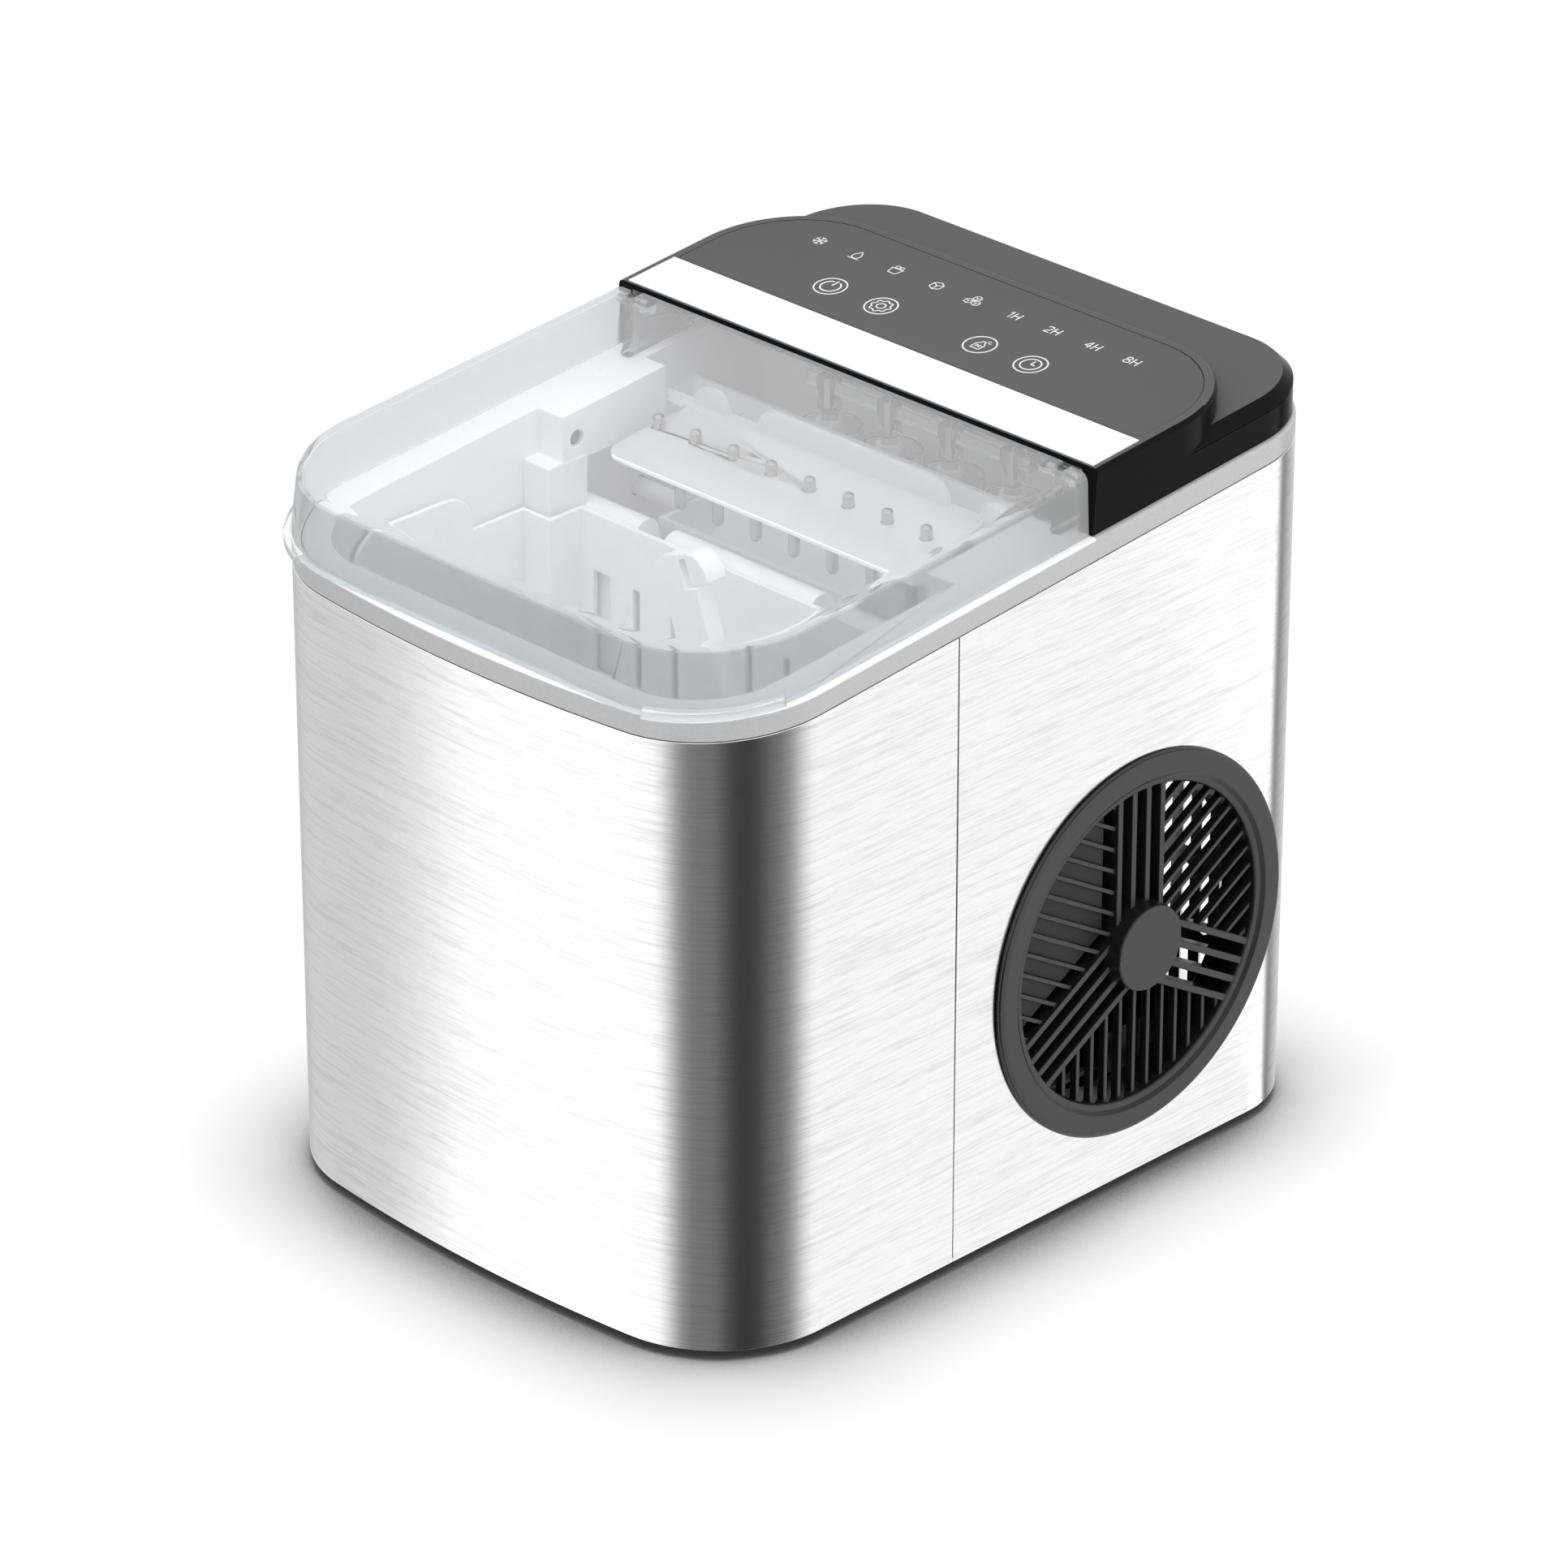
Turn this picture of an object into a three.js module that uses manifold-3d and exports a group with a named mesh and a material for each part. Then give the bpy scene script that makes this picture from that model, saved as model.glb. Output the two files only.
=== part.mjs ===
// Countertop bullet ice maker: steel-clad body, clear hinged lid, control console, ice basket and scoop,
// evaporator with fingers, tipping water tray with its ice shovel, compressor, condenser and fan.
// Millimetres, +Z up, the front faces -Y and the fan side is +X.
import * as THREE from 'three';
import { mergeVertices } from 'three/addons/utils/BufferGeometryUtils.js';
import Module from 'manifold-3d';

const wasm = await Module();
wasm.setup();

// ---------------------------------------------------------------- driving dimensions
const gap = 0.3;                 // working clearance between pieces that touch
const body = { half: 112, front: -143.5, back: 148.5, bow: 10, frontR: 46.5, rearR: 35 };
const slope = 0.092;             // every top plane rises towards the back by this much per millimetre
const steel = { thick: 1, bottom: 3.5, top0: 234, seamY: -31.5 };
const band = { height: 8.1, wall: 3, skirt: 6 };
const consoleBox = { half: body.half - 2.3, front: 31.6, lean: 2, back: 114.5, height: 22.9, rearR: 40, wall: 2.5 };
const deck = { half: body.half - 2, drop: 8.8, cornerR: 38, chamfer: 2.6, start: 62 };
const lidBox = { half: body.half - 1.6, front: -142, back: 30.6, cornerR: 45, wall: 2.5, height: 22.9, slope: 0.08, lean: 5.5 };
const tub = { half: body.half - 16, front: -128, cornerR: 31, wall: 2, floor: 46, deepBack: -10.5, midFloor: steel.top0 - 69, midBack: 52 };
const ledge = { floor: steel.top0 - 22, back: 84, wallTop: steel.top0 - 3, half: tub.half - 2 };
const partition = { top: steel.top0 - 26.5, radius: 6, gaps: [[-58, -45.5], [24, 35]], gapFloor: steel.top0 - 37 };
const basket = { half: tub.half - 2, back: -12.4, floor: 105, rim: steel.top0 - 26, wall: 2, notchY: -27, notchHalf: tub.half - 14.8 };
const scoop = { lean: 20, half: 8.2, front: 5.5, plate: 3.2, flange: 6.7, wall: 1.8, post: 10.8, ledge: 112.5, top: 124.3, reach: 14.2, tip: 114, deep: 8.6 };
const fan = { y: 55.5, z: 90, grilleR: 68.5, openR: 56.5, hubR: 15.2, faceX: body.half + 2.6, hubX: body.half + 6 };
const grilleBars = { armPitch: 6.8, armRib: 2.4, pitch: 6.8, thick: 1.6, deep: 3, setBack: 1.4, closedThick: 1.6, closedGap: 4, bite: 1.1 };
const duct = { collar: body.half - 14, plate: body.half - 72, motor: body.half - 90, deep: 20 };
const rearVent = { width: 3.8, height: 25, pitchX: 8.8, pitchZ: 31.5, columns: 10, rows: 3, x: body.half - 44.4, z: 7.5 };
const tray = { y: 27, z: steel.top0 - 36, outerR: 16, wall: 2, half: 69, tip: 60 };
const shovel = { y: 44, thick: 3, low: steel.top0 - 32, high: steel.top0 - 16, half: 60, travel: 20 };
const fingers = { pitch: (tub.half - 24.8) / 4, radius: 2, tubeR: 2.8, tubeZ: steel.top0 - 11, frontY: 6.6, rearY: 13.9, frontLow: steel.top0 - 25, rearLow: steel.top0 - 15 };
const cover = { half: tub.half - 21.5, front: -10, back: 36, top0: steel.top0 - 4, thick: 1.6, cornerR: 8 };
const manifoldPipe = { y: 66, pitch: 28.3, cupR: 11.3, cupTop: steel.top0 - 9, stemR: 2.8, top: steel.top0 + 9 };
const hinge = { y: 29.8, drop: 3.2, pinR: 1.3, knuckleR: 2.7, armIn: body.half - 15, armOut: body.half - 11 };
const compressorBox = { x: -body.half + 60, y: 95, radius: 44, bottom: 15, height: 118 };
const powerBoard = { x: -tub.half + 6, y: 4, thick: 1.6 };
const panFloor = steel.bottom + 3.5;  // top of the base pan's floor
const sensor = { y: -11.5, z: steel.top0 - 3 };
const drain = { y: -90, z: 58, capR: 10.5, boreR: 5 };

const wingDeep = 5.5;            // depth of the cover's side wings

// heights of the sloped planes at y = 0
const bandTop0 = steel.top0 + band.height;
const consoleTop0 = bandTop0 + consoleBox.height;
const deckTop0 = consoleTop0 - deck.drop;
const shift = { x: -(fan.hubX - body.half) / 2, y: -(body.back + body.front) / 2 };
const lidTop0 = bandTop0 + lidBox.height;
const hingeZ = lidTop0 + lidBox.slope * hinge.y - hinge.drop;

// ---------------------------------------------------------------- finishes
const finish = (color, roughness, metalness = 0) => new THREE.MeshStandardMaterial({ color, roughness, metalness });
const brushedSteel = finish(0xd4d4d4, 0.3, 1);
const blackPlastic = finish(0x1e1e1e, 0.35);
const greyPlastic = finish(0x5f5f5f, 0.5);
const whitePlastic = finish(0xeeeeee, 0.35);
const bandPlastic = finish(0xc4c4c4, 0.4);
const clearPlastic = new THREE.MeshStandardMaterial({ color: 0xdde6ea, roughness: 0.08, transparent: true, opacity: 0.3 });
const nickel = finish(0xe6e6e6, 0.1, 1);
const copper = finish(0xc07a50, 0.3, 1);
const paintedBlack = finish(0x222222, 0.4);
const fibreBoard = finish(0x1f5a34, 0.5);
const aluminium = finish(0xcfcfcf, 0.4, 1);
const blackRubber = finish(0x1a1a1a, 0.8);

// ---------------------------------------------------------------- solids
function solid(geometry) {
  const g = geometry.clone();
  g.deleteAttribute('normal');
  g.deleteAttribute('uv');
  const merged = mergeVertices(g, 1e-4);
  return new wasm.Manifold(new wasm.Mesh({
    numProp: 3,
    vertProperties: new Float32Array(merged.attributes.position.array),
    triVerts: new Uint32Array(merged.index.array),
  }));
}

function geometryOf(manifold) {
  const mesh = manifold.simplify(0.01).getMesh();
  const g = new THREE.BufferGeometry();
  g.setAttribute('position', new THREE.BufferAttribute(new Float32Array(mesh.vertProperties), 3));
  g.setIndex(new THREE.BufferAttribute(new Uint32Array(mesh.triVerts), 1));
  g.computeVertexNormals();
  return g;
}

function join(...parts) {
  return parts.reduce((all, next) => all.add(next));
}

function cut(base, ...tools) {
  return tools.reduce((left, tool) => left.subtract(tool), base);
}

function block(x0, x1, y0, y1, z0, z1) {
  const g = new THREE.BoxGeometry(x1 - x0, y1 - y0, z1 - z0);
  g.translate((x0 + x1) / 2, (y0 + y1) / 2, (z0 + z1) / 2);
  return solid(g);
}

// a drawn outline raised from z0 to z1
function prism(points, z0, z1) {
  const g = new THREE.ExtrudeGeometry(new THREE.Shape(points), { depth: z1 - z0, bevelEnabled: false });
  g.translate(0, 0, z0);
  return solid(g);
}

// an outline drawn in (y, z), drawn out along X
function alongX(points, x0, x1) {
  const g = new THREE.ExtrudeGeometry(new THREE.Shape(points), { depth: x1 - x0, bevelEnabled: false });
  g.applyMatrix4(new THREE.Matrix4().makeBasis(
    new THREE.Vector3(0, 1, 0), new THREE.Vector3(0, 0, 1), new THREE.Vector3(1, 0, 0)));
  g.translate(x0, 0, 0);
  return solid(g);
}

// an outline drawn in (x, z), drawn out along Y
function alongY(points, y0, y1) {
  const g = new THREE.ExtrudeGeometry(new THREE.Shape(points), { depth: y1 - y0, bevelEnabled: false });
  g.applyMatrix4(new THREE.Matrix4().makeBasis(
    new THREE.Vector3(1, 0, 0), new THREE.Vector3(0, 0, 1), new THREE.Vector3(0, -1, 0)));
  g.translate(0, y1, 0);
  return solid(g);
}

function rodX(radius, x0, x1, y, z, sides = 24) {
  const g = new THREE.CylinderGeometry(radius, radius, x1 - x0, sides);
  g.rotateZ(Math.PI / 2);
  g.translate((x0 + x1) / 2, y, z);
  return solid(g);
}

function rodY(radius, y0, y1, x, z, sides = 24) {
  const g = new THREE.CylinderGeometry(radius, radius, y1 - y0, sides);
  g.translate(x, (y0 + y1) / 2, z);
  return solid(g);
}

function rodZ(radius, z0, z1, x, y, sides = 24) {
  const g = new THREE.CylinderGeometry(radius, radius, z1 - z0, sides);
  g.rotateX(Math.PI / 2);
  g.translate(x, y, (z0 + z1) / 2);
  return solid(g);
}

// a closed profile of (radius, height) pairs turned about a vertical axis
function turned(profile, x, y, sides = 28) {
  const g = new THREE.LatheGeometry(profile.map(([r, z]) => new THREE.Vector2(r, z)), sides);
  g.rotateX(Math.PI / 2);
  g.translate(x, y, 0);
  return solid(g);
}

function tube(points, radius, sides = 8, steps = 36) {
  const path = new THREE.CatmullRomCurve3(points.map((p) => new THREE.Vector3(...p)), false, 'centripetal');
  const ring = [];
  for (let i = 0; i < sides; i += 1) {
    const a = (i / sides) * Math.PI * 2;
    ring.push(new THREE.Vector2(radius * Math.cos(a), radius * Math.sin(a)));
  }
  return solid(new THREE.ExtrudeGeometry(new THREE.Shape(ring), { steps, extrudePath: path, bevelEnabled: false }));
}

// everything above, or below, the plane z = z0 + k * y
function above(z0, k = slope) {
  const far = 400;
  return alongX([[-far, z0 - k * far], [far, z0 + k * far], [far, 700], [-far, 700]].map(vec), -far, far);
}

function below(z0, k = slope) {
  const far = 400;
  return alongX([[-far, -300], [far, -300], [far, z0 + k * far], [-far, z0 - k * far]].map(vec), -far, far);
}

function vec([a, b]) {
  return new THREE.Vector2(a, b);
}

function arcPoints(cx, cy, r, a0, a1, n) {
  const out = [];
  for (let i = 0; i <= n; i += 1) {
    const a = a0 + ((a1 - a0) * i) / n;
    out.push(new THREE.Vector2(cx + r * Math.cos(a), cy + r * Math.sin(a)));
  }
  return out;
}

function withoutRepeats(points) {
  const kept = points.filter((p, i) => i === 0 || p.distanceTo(points[i - 1]) > 1e-3);
  if (kept[0].distanceTo(kept[kept.length - 1]) < 1e-3) kept.pop();
  return kept;
}

// a plan outline with a bowed front, round front corners and round rear corners, moved inwards by inset
function footprint(box, inset = 0, fine = 1) {
  const bowR = (box.half ** 2 + box.bow ** 2) / (2 * box.bow) - inset;
  const half = box.half - inset;
  const front = box.front + inset;
  const back = box.back - inset;
  const fr = Math.max(box.frontR - inset, 1);
  const rr = Math.max(box.rearR - inset, 1);
  const cy = front + bowR;
  const fx = half - fr;
  const fy = cy - Math.sqrt((bowR - fr) ** 2 - fx ** 2);
  const contact = Math.atan2(fy - cy, fx);
  const points = [
    ...arcPoints(0, cy, bowR, -Math.PI - contact, contact, Math.round(8 * fine)),
    ...arcPoints(fx, fy, fr, contact, 0, Math.round(12 * fine)),
    ...arcPoints(half - rr, back - rr, rr, 0, Math.PI / 2, Math.round(9 * fine)),
    ...arcPoints(-half + rr, back - rr, rr, Math.PI / 2, Math.PI, Math.round(9 * fine)),
    ...arcPoints(-fx, fy, fr, Math.PI, Math.PI * 2 - (Math.PI + contact), Math.round(12 * fine)),
  ];
  return withoutRepeats(points);
}

// a rectangle whose four corners have their own radii: front right, rear right, rear left, front left
function roundedBox(x0, x1, y0, y1, radii, n = 8) {
  const corner = (cx, cy, r, sx, sy, a0) => (r < 0.05
    ? [new THREE.Vector2(cx, cy)]
    : arcPoints(cx - sx * r, cy - sy * r, r, a0, a0 + Math.PI / 2, n));
  const [fr, rr, rl, fl] = radii;
  return withoutRepeats([
    ...corner(x1, y0, fr, 1, -1, -Math.PI / 2),
    ...corner(x1, y1, rr, 1, 1, 0),
    ...corner(x0, y1, rl, -1, 1, Math.PI / 2),
    ...corner(x0, y0, fl, -1, -1, Math.PI),
  ]);
}

// an outline raised between two parallel sloped planes, with its top edge bevelled
function slopedPrism(points, z0, z1, bevel) {
  const g = new THREE.ExtrudeGeometry(new THREE.Shape(points), {
    depth: z1 - z0 - 2 * bevel, bevelEnabled: true, bevelThickness: bevel, bevelSize: bevel,
    bevelOffset: -bevel, bevelSegments: 1,
  });
  g.translate(0, 0, z0 + bevel);
  g.applyMatrix4(new THREE.Matrix4().makeShear(0, 0, 0, slope, 0, 0));
  return solid(g);
}

const root = new THREE.Group();
root.position.set(shift.x, shift.y, 0);

function piece(name, manifold, material, parent = root) {
  const mesh = new THREE.Mesh(geometryOf(manifold), material);
  mesh.name = name;
  parent.add(mesh);
  return mesh;
}

// ---------------------------------------------------------------- housing
function makeFeet() {
  const inX = body.half - 38;
  const spots = {
    foot_front_left: [-inX, body.front + 45],
    foot_front_right: [inX, body.front + 45],
    foot_rear_left: [-inX, body.back - 40],
    foot_rear_right: [inX, body.back - 40],
  };
  for (const [name, [x, y]] of Object.entries(spots)) {
    piece(name, turned([[0, 0], [9, 0], [10, 1], [10, steel.bottom + 0.5 - gap], [0, steel.bottom + 0.5 - gap]], x, y, 16), blackRubber);
  }
}

function makeBasePan() {
  const floorZ = steel.bottom + 0.5;
  const inset = steel.thick + gap;
  const pan = prism(footprint(body, inset, 0.5), floorZ, floorZ + 12);
  const hollow = prism(footprint(body, inset + 2, 0.5), floorZ + 3, floorZ + 20);
  const vents = [];
  for (let i = 0; i < 6; i += 1) {
    const x = body.half - 68 + i * 10;
    vents.push(block(x, x + 5, fan.y + 6, fan.y + 40, floorZ - 5, floorZ + 8));
  }
  piece('base_pan', cut(pan, hollow, ...vents), blackPlastic);
}

function makeShells() {
  const outer = prism(footprint(body, 0), steel.bottom, steel.top0 + 66);
  const inner = prism(footprint(body, steel.thick), 0, steel.top0 + 86);
  const sleeve = cut(outer, inner, above(steel.top0));
  const frontHalf = block(-200, 200, -300, steel.seamY - 0.2, -10, steel.top0 + 166);
  const rearHalf = block(-200, 200, steel.seamY + 0.2, 300, -10, steel.top0 + 166);
  const drainHole = rodX(drain.capR + 1, -body.half - 5, -body.half + 5, drain.y, drain.z);
  piece('front_wrap', cut(sleeve.intersect(frontHalf), drainHole), brushedSteel);

  const grilleHole = rodX(fan.openR + 4, body.half - 6, body.half + 6, fan.y, fan.z, 48);
  const cordHole = rodY(8, body.back - 6, body.back + 6, -body.half + 42, 32);
  const v = rearVent;
  const slots = [];
  for (let row = 0; row < v.rows; row += 1) {
    for (let column = 0; column < v.columns; column += 1) {
      const x = v.x - column * v.pitchX;
      const z = v.z + row * v.pitchZ;
      const end = v.width / 2;
      const outline = roundedBox(x - end, x + end, z, z + v.height, [end, end, end, end], 3);
      slots.push(alongY(outline, body.back - 5, body.back + 5));
    }
  }
  piece('rear_shell', cut(sleeve.intersect(rearHalf), grilleHole, cordHole, ...slots), brushedSteel);
}

function makeTopBand() {
  const ring = cut(
    prism(footprint(body, 0), steel.top0 - 44, steel.top0 + 66),
    prism(footprint(body, band.wall), steel.top0 - 54, steel.top0 + 86),
    below(steel.top0 + gap),
    above(bandTop0),
  );
  const skirt = cut(
    prism(footprint(body, steel.thick + gap), steel.top0 - 44, steel.top0 + 66),
    prism(footprint(body, band.wall), steel.top0 - 54, steel.top0 + 86),
    below(steel.top0 - band.skirt),
    above(steel.top0 + gap + 1),
  );
  piece('top_band', join(ring, skirt), bandPlastic);
}

function makeTub() {
  const w = tub.wall;
  const deepPlan = (grow) => roundedBox(-tub.half - grow, tub.half + grow, tub.front - grow, tub.deepBack + grow,
    [tub.cornerR + grow, 6, 6, tub.cornerR + grow], 9);
  const openTo = steel.top0 + 86;
  const flange = cut(prism(footprint(body, band.wall + gap, 0.8), steel.top0 - 44, openTo), block(-200, 200, ledge.back + w, 300, 0, 400),
    below(bandTop0 - 2.5));
  const nose = partition.radius;
  const noseY = tub.deepBack + nose;
  const outer = join(
    prism(deepPlan(w), tub.floor - w, openTo - 20),
    block(-tub.half, tub.half, tub.deepBack - w, tub.midBack + w, tub.midFloor - w, openTo - 20),
    block(-tub.half, tub.half, tub.midBack, ledge.back + w, ledge.floor - w, openTo - 20),
    flange,
  );
  const inner = [
    prism(deepPlan(0), tub.floor, openTo),
    block(-ledge.half, ledge.half, noseY + nose, tub.midBack, tub.midFloor, openTo),
    block(-ledge.half, ledge.half, tub.deepBack - 4, tub.midBack, partition.top - nose, openTo),
    block(-ledge.half, ledge.half, tub.midBack + w, ledge.back, ledge.floor, openTo),
    block(-ledge.half, ledge.half, tub.midBack - 1, tub.midBack + w + 1, ledge.wallTop, openTo),
  ];
  let shell = cut(outer, ...inner, above(bandTop0));
  const noseEnds = [-ledge.half - 0.5, ...partition.gaps.flat(), ledge.half + 0.5];
  for (let i = 0; i < noseEnds.length; i += 2) {
    shell = shell.add(rodX(nose, noseEnds[i], noseEnds[i + 1], noseY, partition.top - nose, 28));
  }
  for (const [x0, x1] of partition.gaps) {
    shell = shell.subtract(block(x0, x1, tub.deepBack - 0.1, noseY + nose + 0.1, partition.gapFloor, openTo));
  }
  for (const side of [-1, 1]) {
    const wide = (a, b, ...rest) => block(Math.min(side * a, side * b), Math.max(side * a, side * b), ...rest);
    shell = shell.add(wide(tub.half - 12, tub.half + 0.5, -18, cover.back - wingDeep - 2 * gap, fingers.tubeZ, openTo - 20));
    shell = shell.add(wide(tub.half - 12.6, tub.half + 0.5, -25, tub.deepBack + 3, tub.floor - 1, fingers.tubeZ + 1));
    const eyeX = [side * (tub.half - 16), side * (tub.half - 4)];
    const hole = rodX(3, Math.min(...eyeX), Math.max(...eyeX), sensor.y, sensor.z);
    const bearingX = [side * (tub.half - 6), side * (tub.half + 4)];
    const bearing = rodX(3.8, Math.min(...bearingX), Math.max(...bearingX), tray.y, tray.z);
    shell = cut(shell, hole, bearing);
  }
  for (const x of [powerBoard.x + 4, powerBoard.x + 78]) {
    for (const z of [64, 146]) {
      shell = shell.add(rodY(2.6, tub.deepBack, powerBoard.y - gap, x, z, 8));
    }
  }
  for (const side of [-1, 1]) {
    for (const y of [-92, -46]) {
      const ledgeX = [side * (basket.half - 6), side * (tub.half + 0.5)];
      shell = shell.add(block(Math.min(...ledgeX), Math.max(...ledgeX), y, y + 24, basket.floor - 7, basket.floor - gap));
    }
  }
  for (const y of [fingers.frontY, fingers.rearY]) {
    shell = shell.subtract(rodX(fingers.tubeR + 0.5, tub.half - 16, tub.half + 4, y, fingers.tubeZ, 16));
  }
  const spout = rodX(8, -tub.half - 10, -tub.half - 1, drain.y, drain.z);
  const bore = rodX(drain.boreR, -tub.half - 12, -tub.half + 3, drain.y, drain.z);
  shell = cut(shell.add(spout), bore, above(bandTop0));
  piece('inner_tub', shell, whitePlastic);
}

// ---------------------------------------------------------------- console
function makeConsole() {
  const c = consoleBox;
  const base0 = bandTop0 + gap;
  const raisedPlan = (d) => roundedBox(-c.half + d, c.half - d, c.front + d, c.back - d,
    [1.5, c.rearR - d, c.rearR - d, 1.5], 9);
  const deckPlan = (d) => roundedBox(-deck.half + d, deck.half - d, deck.start + d, body.back - 1 - d,
    [0, deck.cornerR - d, deck.cornerR - d, 0], 9);
  const low = base0 - 42.4;
  const high = base0 + 57.6;
  const lowDeck = slopedPrism(deckPlan(0), low, deckTop0, deck.chamfer);
  const raised = slopedPrism(raisedPlan(0), low, consoleTop0, 0.8);
  const hollowDeck = cut(prism(deckPlan(c.wall + 1), low - 10, high), above(deckTop0 - c.wall - 1));
  const hollowRaised = cut(prism(raisedPlan(c.wall + 1), low - 10, high), above(consoleTop0 - c.wall - 1.6));
  const topZ = consoleTop0 + slope * c.front;
  const faceCut = alongX([
    [c.front - 60, low - 50], [c.front - 1, low - 50], [c.front - 1, base0 + slope * c.front - 10],
    [c.front + c.lean, topZ + 1], [c.front + c.lean, high + 20], [c.front - 60, high + 20],
  ].map(vec), -200, 200);
  const window = block(-c.half + 6.2, c.half - 6.2, c.front - 5, c.front + c.wall + 6, low, topZ - 4.4);
  const overlayPocket = cut(prism(overlayPlan(-gap), low, high), below(consoleTop0 - 1.2));
  const stripPocket = cut(block(-c.half + 2.3, c.half - 2.3, c.front + 2.7, 56.7, low, high), below(consoleTop0 - 1.2));
  piece('console_body', cut(join(lowDeck, raised), below(base0), hollowDeck, hollowRaised, faceCut, window,
    overlayPocket, stripPocket), blackPlastic);
}

function overlayPlan(d) {
  const c = consoleBox;
  return roundedBox(-c.half + 4 + d, c.half - 4 - d, 57.2 + d, c.back - 4 - d, [1, c.rearR - 4, c.rearR - 4, 1], 10);
}

function makeConsoleTop() {
  const low = consoleTop0 - 65;
  const high = consoleTop0 + 35;
  piece('control_overlay', cut(prism(overlayPlan(0), low, high), below(consoleTop0 - 0.9), above(consoleTop0)), greyPlastic);
  const stripHalf = consoleBox.half - 2.6;
  const strip = block(-stripHalf, stripHalf, consoleBox.front + 3, 56.4, low, high);
  piece('panel_strip', cut(strip, below(consoleTop0 - 0.9), above(consoleTop0 + 0.1)), whitePlastic);
  const boardHalf = consoleBox.half - 25.7;
  const board = cut(block(-boardHalf, boardHalf, 64, 106, low, high), below(consoleTop0 - 9), above(consoleTop0 - 7.4));
  const keys = [];
  for (const x of [-49.2, -25.5, 20.1, 43.1]) {
    keys.push(cut(rodZ(5, low + 20, high - 10, x, 73, 16), below(consoleTop0 - 8), above(consoleTop0 - 4.4)));
  }
  piece('control_board', join(board, ...keys), fibreBoard);
}

// ---------------------------------------------------------------- lid and hinge
function leanInwards(geometry, low, high) {
  const p = geometry.attributes.position;
  for (let i = 0; i < p.count; i += 1) {
    const t = (p.getZ(i) - low) / (high - low);
    const forward = THREE.MathUtils.clamp((-20 - p.getY(i)) / (-20 - lidBox.front), 0, 1);
    p.setY(i, p.getY(i) + lidBox.lean * forward * t);
    p.setX(i, p.getX(i) * (1 - 0.014 * t));
  }
  return geometry;
}

function lidForm(inset, low, high) {
  const r = lidBox.cornerR - inset;
  const plan = roundedBox(-lidBox.half + inset, lidBox.half - inset, lidBox.front + inset, lidBox.back,
    [r, 0, 0, r], 10);
  const g = new THREE.ExtrudeGeometry(new THREE.Shape(plan), { depth: high - low, bevelEnabled: false });
  g.translate(0, 0, low);
  return solid(leanInwards(g, bandTop0 - 17.1, bandTop0 + 19.9));
}

function makeLid() {
  const l = lidBox;
  const rest0 = bandTop0 + gap;
  const low = bandTop0 - 27.1;
  const high = bandTop0 + 47.9;
  const outer = cut(lidForm(0, low, high), below(rest0), above(lidTop0, l.slope));
  const hollow = cut(lidForm(l.wall, low - 10, high), above(lidTop0 - l.wall, l.slope));
  const openBack = cut(block(-l.half + l.wall + 1.5, l.half - l.wall - 1.5, 10, 60, low - 10, high),
    above(lidTop0 - l.wall, l.slope));
  let lid = cut(outer, hollow, openBack);
  const tabs = [];
  for (const side of [-1, 1]) {
    const innerX = [side * (hinge.armIn - 7), side * (hinge.armIn - gap)];
    const knuckleIn = rodX(hinge.knuckleR, Math.min(...innerX), Math.max(...innerX), hinge.y, hingeZ, 20);
    const reach = l.half - l.wall - 0.5;
    const outerX = [side * (hinge.armOut + gap), side * reach];
    const knuckleOut = rodX(hinge.knuckleR, Math.min(...outerX), Math.max(...outerX), hinge.y, hingeZ, 20);
    const boreX = [side * (hinge.armIn - 5), side * (hinge.armOut + 4.8)];
    const pinHole = rodX(hinge.pinR + 0.3, Math.min(...boreX), Math.max(...boreX), hinge.y, hingeZ, 16);
    const notch = block(Math.min(side * (hinge.armIn - gap), side * (hinge.armOut + gap)),
      Math.max(side * (hinge.armIn - gap), side * (hinge.armOut + gap)), hinge.y - 3.6, 40, low, high);
    lid = cut(lid.add(knuckleIn).add(knuckleOut), pinHole, notch);
    tabs.push(fingerLip(side));
  }
  lid = cut(join(lid, ...tabs), below(rest0), above(lidTop0, l.slope), block(-200, 200, l.back, 60, low - 20, high + 20));
  piece('lid', lid, clearPlastic);
}

// the small lip at each front corner of the lid, where a finger lifts it
function fingerLip(side) {
  const cx = lidBox.half - lidBox.cornerR;
  const cy = lidBox.front + lidBox.cornerR;
  const a0 = side > 0 ? -Math.PI * 0.4 : -Math.PI * 0.93;
  const a1 = a0 + Math.PI * 0.33;
  const plan = withoutRepeats([
    ...arcPoints(side * cx, cy, lidBox.cornerR + 1.4, a0, a1, 8),
    ...arcPoints(side * cx, cy, lidBox.cornerR - 1.5, a1, a0, 8),
  ]);
  return cut(prism(plan, bandTop0 - 27, bandTop0 + 18), above(bandTop0 + 3.4), below(bandTop0 + gap));
}

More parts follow.
